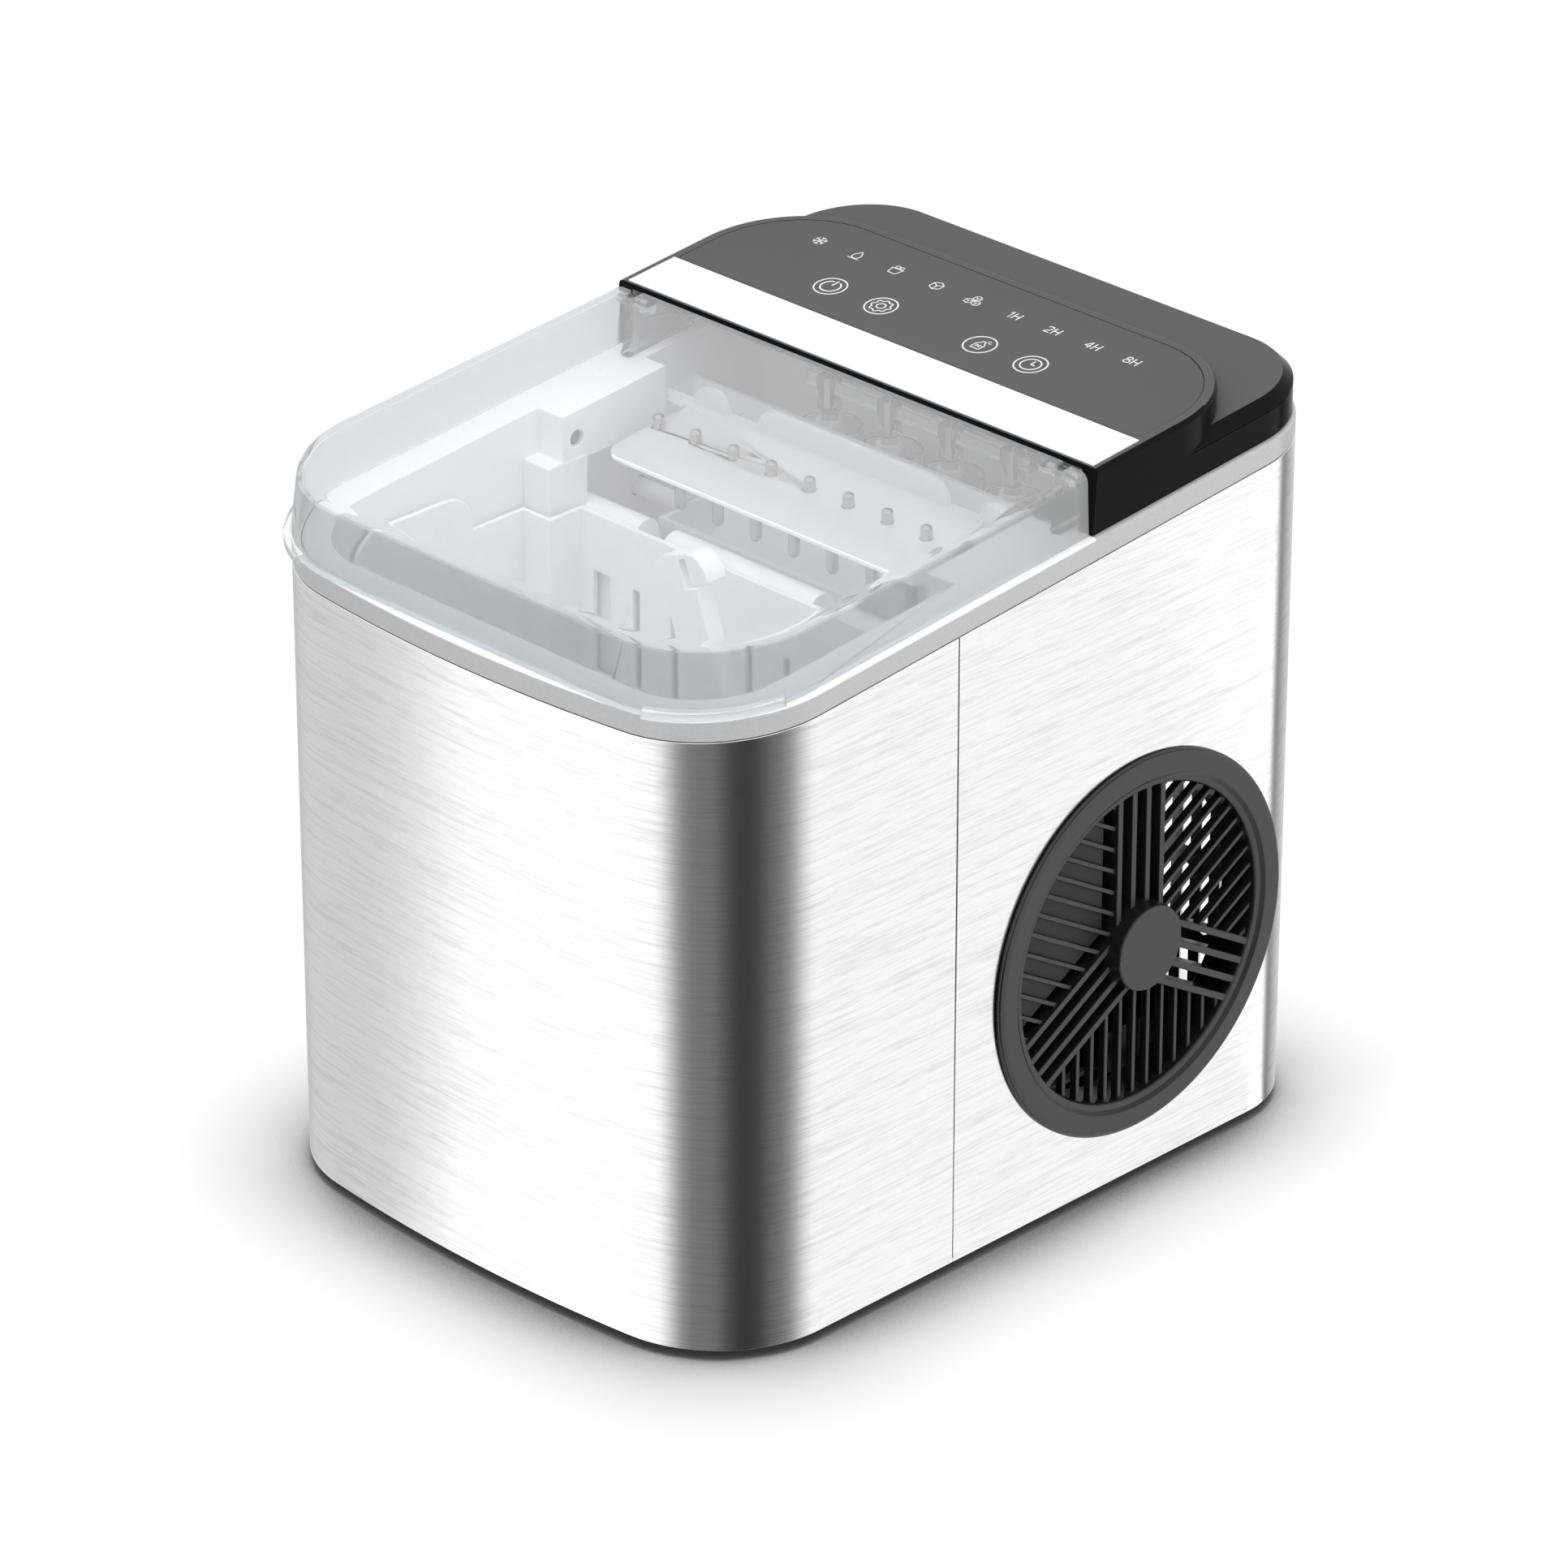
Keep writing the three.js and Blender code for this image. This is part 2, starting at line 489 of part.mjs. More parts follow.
function makeHinge() {
  for (const [name, side] of [['left', -1], ['right', 1]]) {
    const foot0 = bandTop0 + gap;
    const arm = alongX([
      ...arcPoints(hinge.y, hingeZ, hinge.knuckleR - 0.2, 0, Math.PI, 8),
      vec([hinge.y - 2.5, foot0 + 8.6]), vec([25, foot0 + 3.6]), vec([25, foot0 - 12.4]), vec([56, foot0 - 12.4]),
      vec([56, foot0 + 9.6]), vec([36, foot0 + 13.6]), vec([hinge.y + 2.5, foot0 + 16.2]),
    ], Math.min(side * hinge.armIn, side * hinge.armOut), Math.max(side * hinge.armIn, side * hinge.armOut));
    const eye = rodX(hinge.pinR + 0.3, -body.half, body.half, hinge.y, hingeZ, 16);
    piece(`hinge_arm_${name}`, cut(arm, below(foot0), eye), blackPlastic);
    const pinX = [side * (hinge.armIn - 4.4), side * (hinge.armOut + 4.2)];
    piece(`hinge_pin_${name}`, rodX(hinge.pinR, Math.min(...pinX), Math.max(...pinX), hinge.y, hingeZ, 16), nickel);
  }
}

// ---------------------------------------------------------------- ice side
function makeBasket() {
  const b = basket;
  const front = tub.front + 2;
  const r = tub.cornerR - 2;
  const plan = (d) => withoutRepeats([
    ...arcPoints(b.half - r, front + r, r - d, -Math.PI / 2, 0, 9),
    vec([b.half - d, b.notchY - d]), vec([b.notchHalf - d, b.notchY - d]), vec([b.notchHalf - d, b.back - d]),
    vec([-b.notchHalf + d, b.back - d]), vec([-b.notchHalf + d, b.notchY - d]), vec([-b.half + d, b.notchY - d]),
    ...arcPoints(-b.half + r, front + r, r - d, Math.PI, Math.PI * 1.5, 9),
  ]);
  const grips = [];
  for (const side of [-1, 1]) {
    const grip = roundedBox(-104, -52, b.rim - 18, b.rim + 14, [4, 11, 11, 4], 6);
    grips.push(alongX(grip, Math.min(side * b.half, side * (b.half - b.wall)), Math.max(side * b.half, side * (b.half - b.wall))));
  }
  const slots = [];
  for (let i = -3; i <= 3; i += 1) {
    slots.push(block(i * 17.8 - 1.5, i * 17.8 + 1.5, b.back - 4, b.back + 2, b.rim - 58, b.rim - 22));
    slots.push(block(i * 17.8 - 2, i * 17.8 + 2, -100, -40, b.floor - 2, b.floor + 4));
  }
  slots.push(block(-74, -66, b.back - 4, b.back + 2, b.rim - 58, b.rim - 21));
  piece('ice_basket', cut(join(cut(prism(plan(0), b.floor, b.rim), prism(plan(b.wall), b.floor + 2, 300)), ...grips), ...slots), whitePlastic);
}

function makeScoop() {
  const s = scoop;
  const holder = new THREE.Group();
  holder.position.set(51.5, -64, basket.floor + 12.6);
  holder.rotation.y = THREE.MathUtils.degToRad(-s.lean);
  root.add(holder);
  const back = s.front + s.flange;
  const bowl = cut(
    prism(roundedBox(-26, 26, -22, back, [10, 10, 4, 4], 6), -1.5, 44),
    prism(roundedBox(-24, 24, -20, back - 2, [8, 8, 2, 2], 6), 0.1, 60),
    alongY([[-40, 60], [-40, 38], [-10, 38], [24, 8], [40, 8], [40, 60]].map(vec), -40, 40),
  );
  const left = -s.half;
  const plate = block(left, s.half, s.front, s.front + s.plate, 4, s.ledge);
  const sides = join(block(left, left + s.wall, s.front, back, 4, s.ledge), block(s.half - s.wall, s.half, s.front, back, 4, s.ledge));
  const post = block(left, left + s.post, s.front, s.front + s.plate, s.ledge - 2, s.top - s.wall);
  const [r1, r2] = [5, 8];
  const profile = withoutRepeats([
    vec([left, s.ledge - 2]), ...arcPoints(left + r1, s.top - r1, r1, Math.PI, Math.PI / 2, 6),
    ...arcPoints(s.reach - r2, s.top - r2, r2, Math.PI / 2, 0, 10), vec([s.reach, s.tip]), vec([s.reach - s.wall, s.tip]),
    ...arcPoints(s.reach - r2, s.top - r2, r2 - s.wall, 0, Math.PI / 2, 10),
    ...arcPoints(left + r1, s.top - r1, r1 - s.wall, Math.PI / 2, Math.PI, 6), vec([left + s.wall, s.ledge - 2]),
  ].reverse());
  const hook = alongY(profile, s.front, s.front + s.deep);
  piece('ice_scoop', join(bowl, plate, sides, post, hook), whitePlastic, holder);
}

function finger(y, x, low, high) {
  return turned([[0, low], [fingers.radius, low + 0.7], [fingers.radius, high], [0, high]], x, y, 7);
}

function makeEvaporator() {
  const f = fingers;
  const reach = 4 * f.pitch + 6;
  const parts = [
    rodX(f.tubeR, -reach, tub.half + 3.6, f.frontY, f.tubeZ, 10),
    rodX(f.tubeR, -reach, tub.half + 3.6, f.rearY, f.tubeZ, 10),
    block(-reach - 3, -reach + 1, f.frontY - 2.6, f.rearY + 2.6, f.tubeZ - 2.6, f.tubeZ + 2.6),
  ];
  for (let i = -3; i <= 3; i += 1) {
    parts.push(finger(f.frontY, i * f.pitch, f.frontLow, f.tubeZ));
  }
  for (let i = -4; i <= 4; i += 1) {
    parts.push(finger(f.rearY, i * f.pitch, f.rearLow, f.tubeZ + 13));
  }
  piece('evaporator', join(...parts), nickel);
}

function makeCover() {
  const c = cover;
  const plate = join(
    prism(roundedBox(-c.half, c.half, c.front, c.back, [c.cornerR, 3, 3, c.cornerR], 7), c.top0 - 30, c.top0 + 30),
    block(-ledge.half + gap, ledge.half - gap, c.back - wingDeep, c.back, c.top0 - 30, c.top0 + 30),
  );
  const sheet = cut(plate, below(c.top0 - c.thick), above(c.top0));
  const holes = [];
  for (let i = -4; i <= 4; i += 1) {
    holes.push(rodZ(fingers.radius + 0.4, c.top0 - 20, c.top0 + 20, i * fingers.pitch, fingers.rearY, 8));
  }
  const stand0 = c.top0 + slope * 34;
  const panel = (x0, x1, high, r) => alongY(roundedBox(x0, x1, stand0 - 1.5, high, [0, r, r, 0], 6), 33, 35.4);
  const skirt = alongY(roundedBox(-c.half + 4.3, c.half - 4.3, stand0 - 12, stand0 - 0.7, [0, 0, 0, 0], 1), 33.4, 34.8);
  piece('evaporator_cover', cut(join(sheet, panel(-44, 44, c.top0 + 11.3, 8), panel(-74, -58, c.top0 + 10.6, 7), panel(58, 74, c.top0 + 10.6, 7), skirt),
    ...holes), whitePlastic);
}

function makeManifoldPipe() {
  const m = manifoldPipe;
  const floorZ = ledge.floor + gap;
  const parts = [block(-1.5 * m.pitch - 10, 1.5 * m.pitch + 10, m.y - 3, m.y + 3, m.top - 5.5, m.top)];
  for (let i = 0; i < 4; i += 1) {
    const x = (i - 1.5) * m.pitch;
    parts.push(turned([
      [0, floorZ], [m.cupR - 1.5, floorZ], [m.cupR, floorZ + 2], [m.cupR, m.cupTop], [m.cupR - 1.4, m.cupTop],
      [m.cupR - 1.4, floorZ + 2.4], [m.stemR, floorZ + 2.4], [m.stemR, m.top - 2], [0, m.top - 2],
    ], x, m.y, 16));
    piece(`seal_ring_${i + 1}`, turned([
      [m.stemR + gap, m.cupTop - 1], [4.7, m.cupTop - 1], [4.7, m.cupTop + 2.4], [m.stemR + gap, m.cupTop + 2.4],
      [m.stemR + gap, m.cupTop - 1],
    ], x, m.y, 16), whitePlastic);
  }
  piece('water_manifold', join(...parts), clearPlastic);
}

function makeTray() {
  const t = tray;
  const half = (r, x) => alongX([...arcPoints(t.y, t.z, r, Math.PI, Math.PI * 2, 18), vec([t.y + r, t.z + 2]),
    vec([t.y - r, t.z + 2])], -x, x);
  const trough = cut(half(t.outerR, t.half), half(t.outerR - t.wall, t.half - t.wall).translate(0, 0, 0.6));
  const rims = join(block(-t.half, t.half, t.y - t.outerR, t.y - t.outerR + t.wall, t.z, t.z + 2),
    block(-t.half, t.half, t.y + t.outerR - t.wall, t.y + t.outerR, t.z, t.z + 2));
  const pins = [rodX(3.2, t.half - 1, tub.half, t.y, t.z, 16), rodX(3.2, -tub.half + 0.5, -t.half + 1, t.y, t.z, 16)];
  const ends = [block(t.half - t.wall, t.half, t.y - 6, t.y + 6, t.z - 6, t.z + 3.4),
    block(-t.half, -t.half + t.wall, t.y - 6, t.y + 6, t.z - 6, t.z + 3.4)];
  piece('water_tray', join(trough, rims, ...ends, ...pins), whitePlastic);
  const motor = join(block(tub.half + gap, tub.half + 10.5, t.y - 13, t.y + 13, t.z - 12, t.z + 10),
    rodX(9, tub.half + 10, tub.half + 13, t.y, t.z, 20));
  piece('tray_motor', motor, greyPlastic);
}

function makeShovel() {
  const s = shovel;
  const panel = block(-s.half, s.half, s.y, s.y + s.thick, s.low, s.high);
  const bar = block(-ledge.half + 6, ledge.half - 6, s.y, s.y + s.thick, s.high - 4, s.high);
  const shoeX = [ledge.half - 8, ledge.half - 2];
  const shoes = [block(-shoeX[1], -shoeX[0], s.y - 4, s.y + 6, s.high - 4.4, s.high + 1),
    block(shoeX[0], shoeX[1], s.y - 4, s.y + 6, s.high - 4.4, s.high + 1)];
  piece('ice_shovel', join(panel, bar, ...shoes), whitePlastic);
  for (const [name, side] of [['left', -1], ['right', 1]]) {
    const railX = [side * (ledge.half - 6.5), side * (ledge.half - gap)];
    const rail = block(Math.min(...railX), Math.max(...railX), 16, tub.midBack - gap, s.high - 8.7, s.high - 4.7);
    piece(`shovel_rail_${name}`, rail, whitePlastic);
  }
}

function makeSensors() {
  for (const [name, side] of [['ir_emitter', -1], ['ir_receiver', 1]]) {
    const eyeX = [side * (tub.half - 10.6), side * (tub.half - 4.4)];
    piece(name, rodX(2.6, Math.min(...eyeX), Math.max(...eyeX), sensor.y, sensor.z, 16), blackPlastic);
  }
}

// ---------------------------------------------------------------- fan side
function makeGrille() {
  const f = fan;
  const face = f.faceX;
  const shellX = body.half + gap;
  const profile = [
    [f.openR, duct.collar], [f.openR + 2.5, duct.collar], [f.openR + 2.5, shellX], [f.grilleR, shellX], [f.grilleR, face - 1.4],
    [f.grilleR - 2.2, face], [f.openR + 4, face], [f.openR + 3, face - 1.4], [f.openR, face - 1.4], [f.openR, duct.collar],
  ];
  const g = new THREE.LatheGeometry(profile.map(([r, x]) => new THREE.Vector2(r, x)), 48);
  g.rotateZ(-Math.PI / 2);
  const ring = solid(g);
  const bars = [];
  const slatBack = body.half - 8.6;
  const slatFront = body.half + 0.6;
  const disc = rodX(f.openR + 1, slatBack - 2, slatFront + 3, 0, 0, 48);
  const slat = (u, v0, v1, turn, thick, back, front) => {
    const b = new THREE.BoxGeometry(front - back, thick, v1 - v0);
    b.translate((front + back) / 2, u, (v0 + v1) / 2);
    b.rotateX(turn);
    return solid(b);
  };
  const g3 = grilleBars;
  const armSide = 1.5 * g3.armPitch + g3.armRib / 2;
  const sectorOutline = (clear) => {
    const start = (armSide + clear) / Math.sin(Math.PI / 3);
    return [[0, start], [90, start + 90 * Math.tan(Math.PI / 6)], [90, 200], [-90, 200], [-90, start + 90 * Math.tan(Math.PI / 6)]].map(vec);
  };
  const barFront = slatFront - g3.setBack;
  for (let arm = 0; arm < 3; arm += 1) {
    const turn = (arm * 2 * Math.PI) / 3;
    for (let i = 0; i < 4; i += 1) {
      bars.push(slat((i - 1.5) * g3.armPitch, 8, f.openR + 1, turn, g3.armRib, slatBack, slatFront));
    }
    const sector = turn + Math.PI / 3;
    const sectorTurn = [THREE.MathUtils.radToDeg(sector), 0, 0];
    const field = [];
    for (let i = -8; i <= 8; i += 1) {
      field.push(slat(i * g3.pitch, 0, f.openR + 1, sector, g3.thick, barFront - g3.deep, barFront));
    }
    bars.push(join(...field).intersect(alongX(sectorOutline(-g3.bite), slatBack - 10, slatBack + 30).rotate(sectorTurn)));
    if (arm === 0) { // this sector is closed behind its bars, short of the arms
      bars.push(alongX(sectorOutline(g3.closedGap), barFront - g3.deep, barFront - g3.deep + g3.closedThick).rotate(sectorTurn));
    }
  }
  const hub = join(rodX(f.hubR, slatBack, f.hubX - 0.8, 0, 0, 36), rodX(f.hubR - 0.8, slatBack, f.hubX, 0, 0, 36));
  const grille = join(ring, join(...bars).intersect(disc), hub);
  const holder = new THREE.Group();
  holder.position.set(0, f.y, f.z);
  root.add(holder);
  piece('side_grille', grille, blackPlastic, holder);
}

function makeFan() {
  const holder = new THREE.Group();
  holder.position.set(0, fan.y, fan.z);
  root.add(holder);
  const d = duct;
  const bore = rodX(54.6, d.plate - 6, d.plate + d.deep + 6, 0, 0, 28);
  const sleeve = cut(rodX(57, d.plate, d.plate + d.deep, 0, 0, 28), bore);
  const plate = cut(alongX(roundedBox(-56.5, 62, panFloor + gap - fan.z, 62, [6, 6, 6, 6], 4), d.plate, d.plate + 3), bore);
  const spokes = [];
  for (let i = 0; i < 4; i += 1) {
    const b = new THREE.BoxGeometry(3, 5, 40);
    b.translate(d.plate + 1.5, 0, 37);
    b.rotateX((i * Math.PI) / 2 + Math.PI / 4);
    spokes.push(solid(b));
  }
  const collar = cut(rodX(19.5, d.plate - 6, d.plate + 3, 0, 0, 32), rodX(16, d.plate - 16, d.plate + 14, 0, 0, 32));
  piece('fan_shroud', join(sleeve, plate, collar, ...spokes), blackPlastic, holder);
  piece('fan_motor', join(rodX(15.6, d.motor, d.plate + 4.5, 0, 0, 28), rodX(5, d.motor - 2.4, d.motor + 1, 0, 0, 16)), greyPlastic,
    holder);

  const hub = cut(rodX(17.5, d.plate + 5.2, d.plate + d.deep, 0, 0, 28), rodX(15, d.plate + 2, d.plate + 8, 0, 0, 28));
  const blades = [];
  for (let i = 0; i < 7; i += 1) {
    const b = new THREE.BoxGeometry(1.8, 24, 36);
    b.rotateZ(THREE.MathUtils.degToRad(52));
    b.translate(d.plate + d.deep - 7, 0, 33.4);
    b.rotateX((i * Math.PI * 2) / 7);
    blades.push(solid(b));
  }
  const sweep = rodX(52, d.plate + 5.8, d.plate + d.deep, 0, 0, 40);
  piece('fan_blade', join(hub, join(...blades).intersect(sweep)), blackPlastic, holder);
}

function makeCondenser() {
  const x0 = duct.motor - 23;
  const x1 = duct.motor - 3;
  const parts = [];
  for (let i = 0; i < 9; i += 1) {
    const y = fan.y - 50 + i * 12;
    parts.push(block(x0 + 1, x1 - 1, y, y + 1.2, 26, 150));
  }
  const runs = [];
  for (let row = 0; row < 2; row += 1) {
    runs.push(rodY(3.4, fan.y - 60, fan.y + 60, (x0 + x1) / 2, 62 + row * 52, 8));
  }
  const ends = [block(x0, x1, fan.y - 61, fan.y - 59.4, panFloor + gap, 152),
    block(x0, x1, fan.y + 59.4, fan.y + 61, panFloor + gap, 152)];
  piece('condenser', join(...parts, ...runs, ...ends), aluminium);
}

function makeCompressor() {
  const c = compressorBox;
  const z0 = c.bottom;
  const z1 = c.bottom + c.height;
  const bodyOf = turned([
    [0, z0 + 4], [c.radius - 12, z0 + 4], [c.radius - 3, z0 + 14], [c.radius, z0 + 24], [c.radius, z0 + 60],
    [c.radius + 1.6, z0 + 61], [c.radius + 1.6, z0 + 65], [c.radius, z0 + 66], [c.radius, z1 - 26], [c.radius - 6, z1 - 10],
    [c.radius - 18, z1 - 2], [0, z1],
  ], c.x, c.y, 24);
  const stubs = join(rodZ(3.4, z1 - 12, z1 + 8, c.x + 16, c.y, 12), rodZ(4, z1 - 12, z1 + 8, c.x - 16, c.y, 12));
  const terminal = block(c.x - 14, c.x + 14, c.y - c.radius - 12, c.y - c.radius + 6, z0 + 70, z0 + 96);
  piece('compressor', join(bodyOf, stubs, terminal), paintedBlack);
  const foot = steel.bottom + 0.5 + 3 + gap;
  const plate = prism(roundedBox(c.x - 50, c.x + 50, c.y - 40, c.y + 42, [14, 14, 14, 14], 5), foot, foot + 2.4);
  const dish = rodZ(20, foot + 2, z0 + 4 - gap, c.x, c.y, 24);
  piece('compressor_bracket', join(plate, dish), paintedBlack);
}

function makePlumbing() {
  const c = compressorBox;
  const top = c.bottom + c.height + 8 + gap;
  const side = tub.half;
  piece('discharge_tube', tube([[c.x + 16, c.y, top], [c.x + 16, c.y, top + 10], [c.x + 30, c.y - 4, 166], [-4, 92, 173], [7, 88, 171],
    [duct.motor - 13, 86, 162], [duct.motor - 13, 86, 153]], 2.6, 6, 18), copper);
  piece('suction_tube', tube([[c.x - 16, c.y, top], [c.x - 16, c.y, top + 14], [c.x - 8, 104, 176], [30, 108, 190], [84, 100, 204],
    [side + 7.6, 80, fingers.tubeZ - 5], [side + 8.6, 50, fingers.tubeZ + 1], [side + 8.8, 26, fingers.tubeZ + 1.5], [side + 8.4, fingers.rearY + 4, fingers.tubeZ + 0.3],
    [side + 6.6, fingers.rearY + 0.4, fingers.tubeZ], [side + 4, fingers.rearY, fingers.tubeZ]], 2.4, 6, 34), copper);
  piece('drier', turned([[0, 34], [2.4, 34], [2.4, 38], [7.5, 43], [7.5, 76], [2.4, 81], [2.4, 84], [0, 84]], 30, 24, 20), copper);
  piece('capillary_tube', tube([[30, 24, 84 + gap], [28, 22, 110], [30, 12, tub.midFloor - 11.5], [side - 26, 2, tub.midFloor - 8],
    [side + 4, -2, tub.midFloor - 5], [side + 8.6, -3, tub.midFloor + 11],
    [side + 8.8, -1, fingers.tubeZ - 9], [side + 7, 5, fingers.tubeZ - 0.5], [side + 4.2, fingers.frontY, fingers.tubeZ]], 1.3, 6, 32), copper);
  const pump = join(block(-96, -62, 12, 46, panFloor + gap, 40), rodZ(13, 38, 50, -79, 29, 24), rodZ(4, 48, 58, -88, 36, 12));
  piece('water_pump', pump, blackPlastic);
  piece('pump_hose', tube([[-88, 36, 58.4], [-88, 38, 74], [-90, 60, 96], [-91, 74, 130], [-88, 76, 180], [-74, 74, ledge.floor - 12],
    [-56, 70, ledge.floor - 9], [-50, 68, ledge.floor - 6], [-49.6, 67.6, ledge.floor - 2.5]], 3.4, 6, 30), clearPlastic);
  const y = powerBoard.y;
  const x0 = powerBoard.x;
  const board = join(block(x0, x0 + 82, y, y + powerBoard.thick, 60, 150), block(x0 + 6, x0 + 36, y + 1, y + 22, 66, 90),
    block(x0 + 46, x0 + 68, y + 1, y + 16, 70, 96), block(x0 + 12, x0 + 26, y + 1, y + 14, 110, 132),
    block(x0 + 56, x0 + 74, y + 1, y + 12, 112, 138));
  piece('power_board', board, fibreBoard);
}

function makeFittings() {
  const cordX = -body.half + 42;
  const gland = cut(rodY(7.7, body.back - 10, body.back - 0.1, cordX, 32, 16), rodY(4, body.back - 12, body.back + 5, cordX, 32, 12));
  const collar = cut(rodY(10.5, body.back - 6, body.back - steel.thick - gap, cordX, 32, 16), rodY(4, body.back - 12, body.back + 5, cordX, 32, 12));
  piece('cord_gland', join(gland, collar), blackRubber);
  const out = -body.half + 0.2;
  const cap = join(
    rodX(drain.capR, out, out + 4.6, drain.y, drain.z, 32),
    rodX(drain.boreR - 0.5, out + 4, -tub.half - 2, drain.y, drain.z, 20),
  );
  const grip = block(out - 1, out + 2.4, drain.y - 7, drain.y - 1.6, drain.z - 8, drain.z + 8);
  const grip2 = block(out - 1, out + 2.4, drain.y + 1.6, drain.y + 7, drain.z - 8, drain.z + 8);
  piece('drain_cap', cut(cap, grip, grip2), blackPlastic);
}

makeFeet();
makeBasePan();
makeShells();
makeTopBand();
makeTub();
makeConsole();
makeConsoleTop();
makeLid();
makeHinge();
makeBasket();
makeScoop();
makeEvaporator();
makeCover();
makeManifoldPipe();
makeTray();
makeShovel();
makeSensors();
makeGrille();
makeFan();
makeCondenser();
makeCompressor();
makePlumbing();
makeFittings();

export default root;
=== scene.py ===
from contextlib import contextmanager
from math import atan2, cos, degrees, dist, hypot, pi, radians, sin, sqrt, tan

import bmesh
import bpy
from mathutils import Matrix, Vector


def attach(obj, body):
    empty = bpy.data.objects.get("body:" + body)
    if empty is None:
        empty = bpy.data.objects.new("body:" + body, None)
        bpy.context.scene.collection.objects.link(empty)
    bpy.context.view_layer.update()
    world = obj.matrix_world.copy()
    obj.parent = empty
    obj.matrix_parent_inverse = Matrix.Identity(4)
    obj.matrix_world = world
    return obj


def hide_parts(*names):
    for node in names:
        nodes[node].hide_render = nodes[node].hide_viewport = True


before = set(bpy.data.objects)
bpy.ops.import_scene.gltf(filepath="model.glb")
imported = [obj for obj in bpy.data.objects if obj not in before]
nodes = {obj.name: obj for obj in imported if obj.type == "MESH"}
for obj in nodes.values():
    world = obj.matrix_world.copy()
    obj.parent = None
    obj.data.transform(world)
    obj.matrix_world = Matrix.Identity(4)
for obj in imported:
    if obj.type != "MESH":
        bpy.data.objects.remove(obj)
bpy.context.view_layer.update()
scene = bpy.context.scene
mm = 0.001
offset = (-3.0, -2.5)  # the middle of the body, in mm
slope = 0.092  # rise of every top plane towards the back
bodyShape = {"half": 112.0, "front": -143.5, "back": 148.5, "bow": 10.0, "frontR": 46.5, "rearR": 35.0}
print("frame loaded")

# camera and studio
cameraSettings = {"place": (1.67193, -1.67260, 1.31484), "aim": (0.00985, -0.01344, 0.13704), "lens": 182.34}
studioSettings = {"floorSize": 30.0, "floorColour": 0.9, "floorSheen": 0.03, "sheenRough": 0.1,
                  "worldLight": 0.75, "shadeReach": 0.052,
                  "shade": [(0.0, 0.02), (0.3, 0.06), (0.46, 0.11), (0.5, 0.155), (0.542, 0.262),
                            (0.626, 0.52), (0.723, 0.73), (0.858, 0.89), (0.962, 0.98), (1.0, 1.03)]}
lampSettings = {  # places and sizes in m, power in W, spread in degrees
    "keyLamp": {"place": (0.6, -0.9, 2.6), "aim": (0, 0, 0.15), "size": 1.8, "power": 20, "spread": 180},
    "wellLamp": {"place": (0.03, -0.24, 1.9), "aim": (0, -0.055, 0.24), "size": 0.12, "power": 0.045,
                 "spread": 14},
    "sideLamp": {"place": (2.4, 0.9, 1.1), "aim": (0, 0, 0.15), "size": 1.6, "power": 14, "spread": 180},
}
# what bare metal mirrors from the floor, by the way that its side faces (plan angle in degrees) and,
# in front, by x in mm
cardSettings = {
    "reach": 1.6, "height": 0.0012, "steps": 8, "leftEnd": -137, "rearEnd": 47,
    "facing": [(-135, 0.62), (-131, 0.62), (-124, 0.54), (-117, 0.62), (-110, 0.64),
               (-103, 0.65), (-97, 0.63)],
    "along": [(-70, 0.63), (-50, 0.66), (-42, 0.70), (-35, 0.76), (-28, 0.83), (-21, 0.93), (-14, 1.0),
              (-7, 1.08), (0, 1.12), (20, 1.16), (75, 1.16)],
    "turning": [(-83, 1.12), (-74, 1.1), (-70, 1.06), (-67, 0.86), (-65, 0.66), (-60.4, 0.29),
                (-56, 0.178), (-51, 0.168), (-46.4, 0.155), (-44, 0.115), (-41.8, 0.080), (-37, 0.036),
                (-32.5, 0.034), (-28, 0.058), (-23, 0.13), (-18.6, 0.18), (-14, 0.32), (-9, 0.70),
                (-4.6, 0.98), (0, 0.98), (1.5, 1.15), (3, 1.24), (11, 1.24), (13.5, 0.7), (15.5, 0.16),
                (18, 0.18), (21, 0.34), (26, 0.5), (33, 0.64), (45, 0.7), (60, 0.6)],
}


def placed(name, data):
    obj = bpy.data.objects.new(name, data)
    scene.collection.objects.link(obj)
    return obj


def aimed(obj, place, aim):
    obj.location = place
    look = Vector(aim) - Vector(place)
    obj.rotation_euler = look.to_track_quat("-Z", "Y").to_euler()


def addCamera(s):
    lens = bpy.data.cameras.new("studioCamera")
    lens.lens = s["lens"]
    lens.sensor_width = 36.0
    lens.clip_end = 100.0
    scene.camera = placed("studioCamera", lens)
    aimed(scene.camera, s["place"], s["aim"])


def addLamp(name, s):
    lamp = bpy.data.lights.new(name, "AREA")
    lamp.shape = "RECTANGLE"
    lamp.size = lamp.size_y = s["size"]
    lamp.energy = s["power"]
    lamp.spread = radians(s["spread"])
    holder = placed(name, lamp)
    aimed(holder, s["place"], s["aim"])
    holder.visible_camera = False
    holder.visible_glossy = False


def feed(tree, node, given):  # values and links for a node's inputs
    for name, value in given.items():
        if isinstance(value, bpy.types.NodeSocket):
            tree.links.new(value, node.inputs[name])
        else:
            node.inputs[name].default_value = value
    return node


def newNode(tree, kind, given=None, **settings):
    node = tree.nodes.new("ShaderNode" + kind)
    for name, value in settings.items():
        setattr(node, name, value)
    return feed(tree, node, given or {})


def emptied(data):  # its node tree with nothing in it
    data.use_nodes = True
    data.node_tree.nodes.clear()
    return data.node_tree


def shown(tree, node, kind="Material"):
    newNode(tree, "Output" + kind, {"Surface": node.outputs[0]})


def mixed(tree, share, first, last):
    return newNode(tree, "MixShader", {0: share, 1: first.outputs[0], 2: last.outputs[0]})


def combine(tree, kind, first, last):
    return newNode(tree, "Math", {0: first, 1: last}, operation=kind).outputs[0]


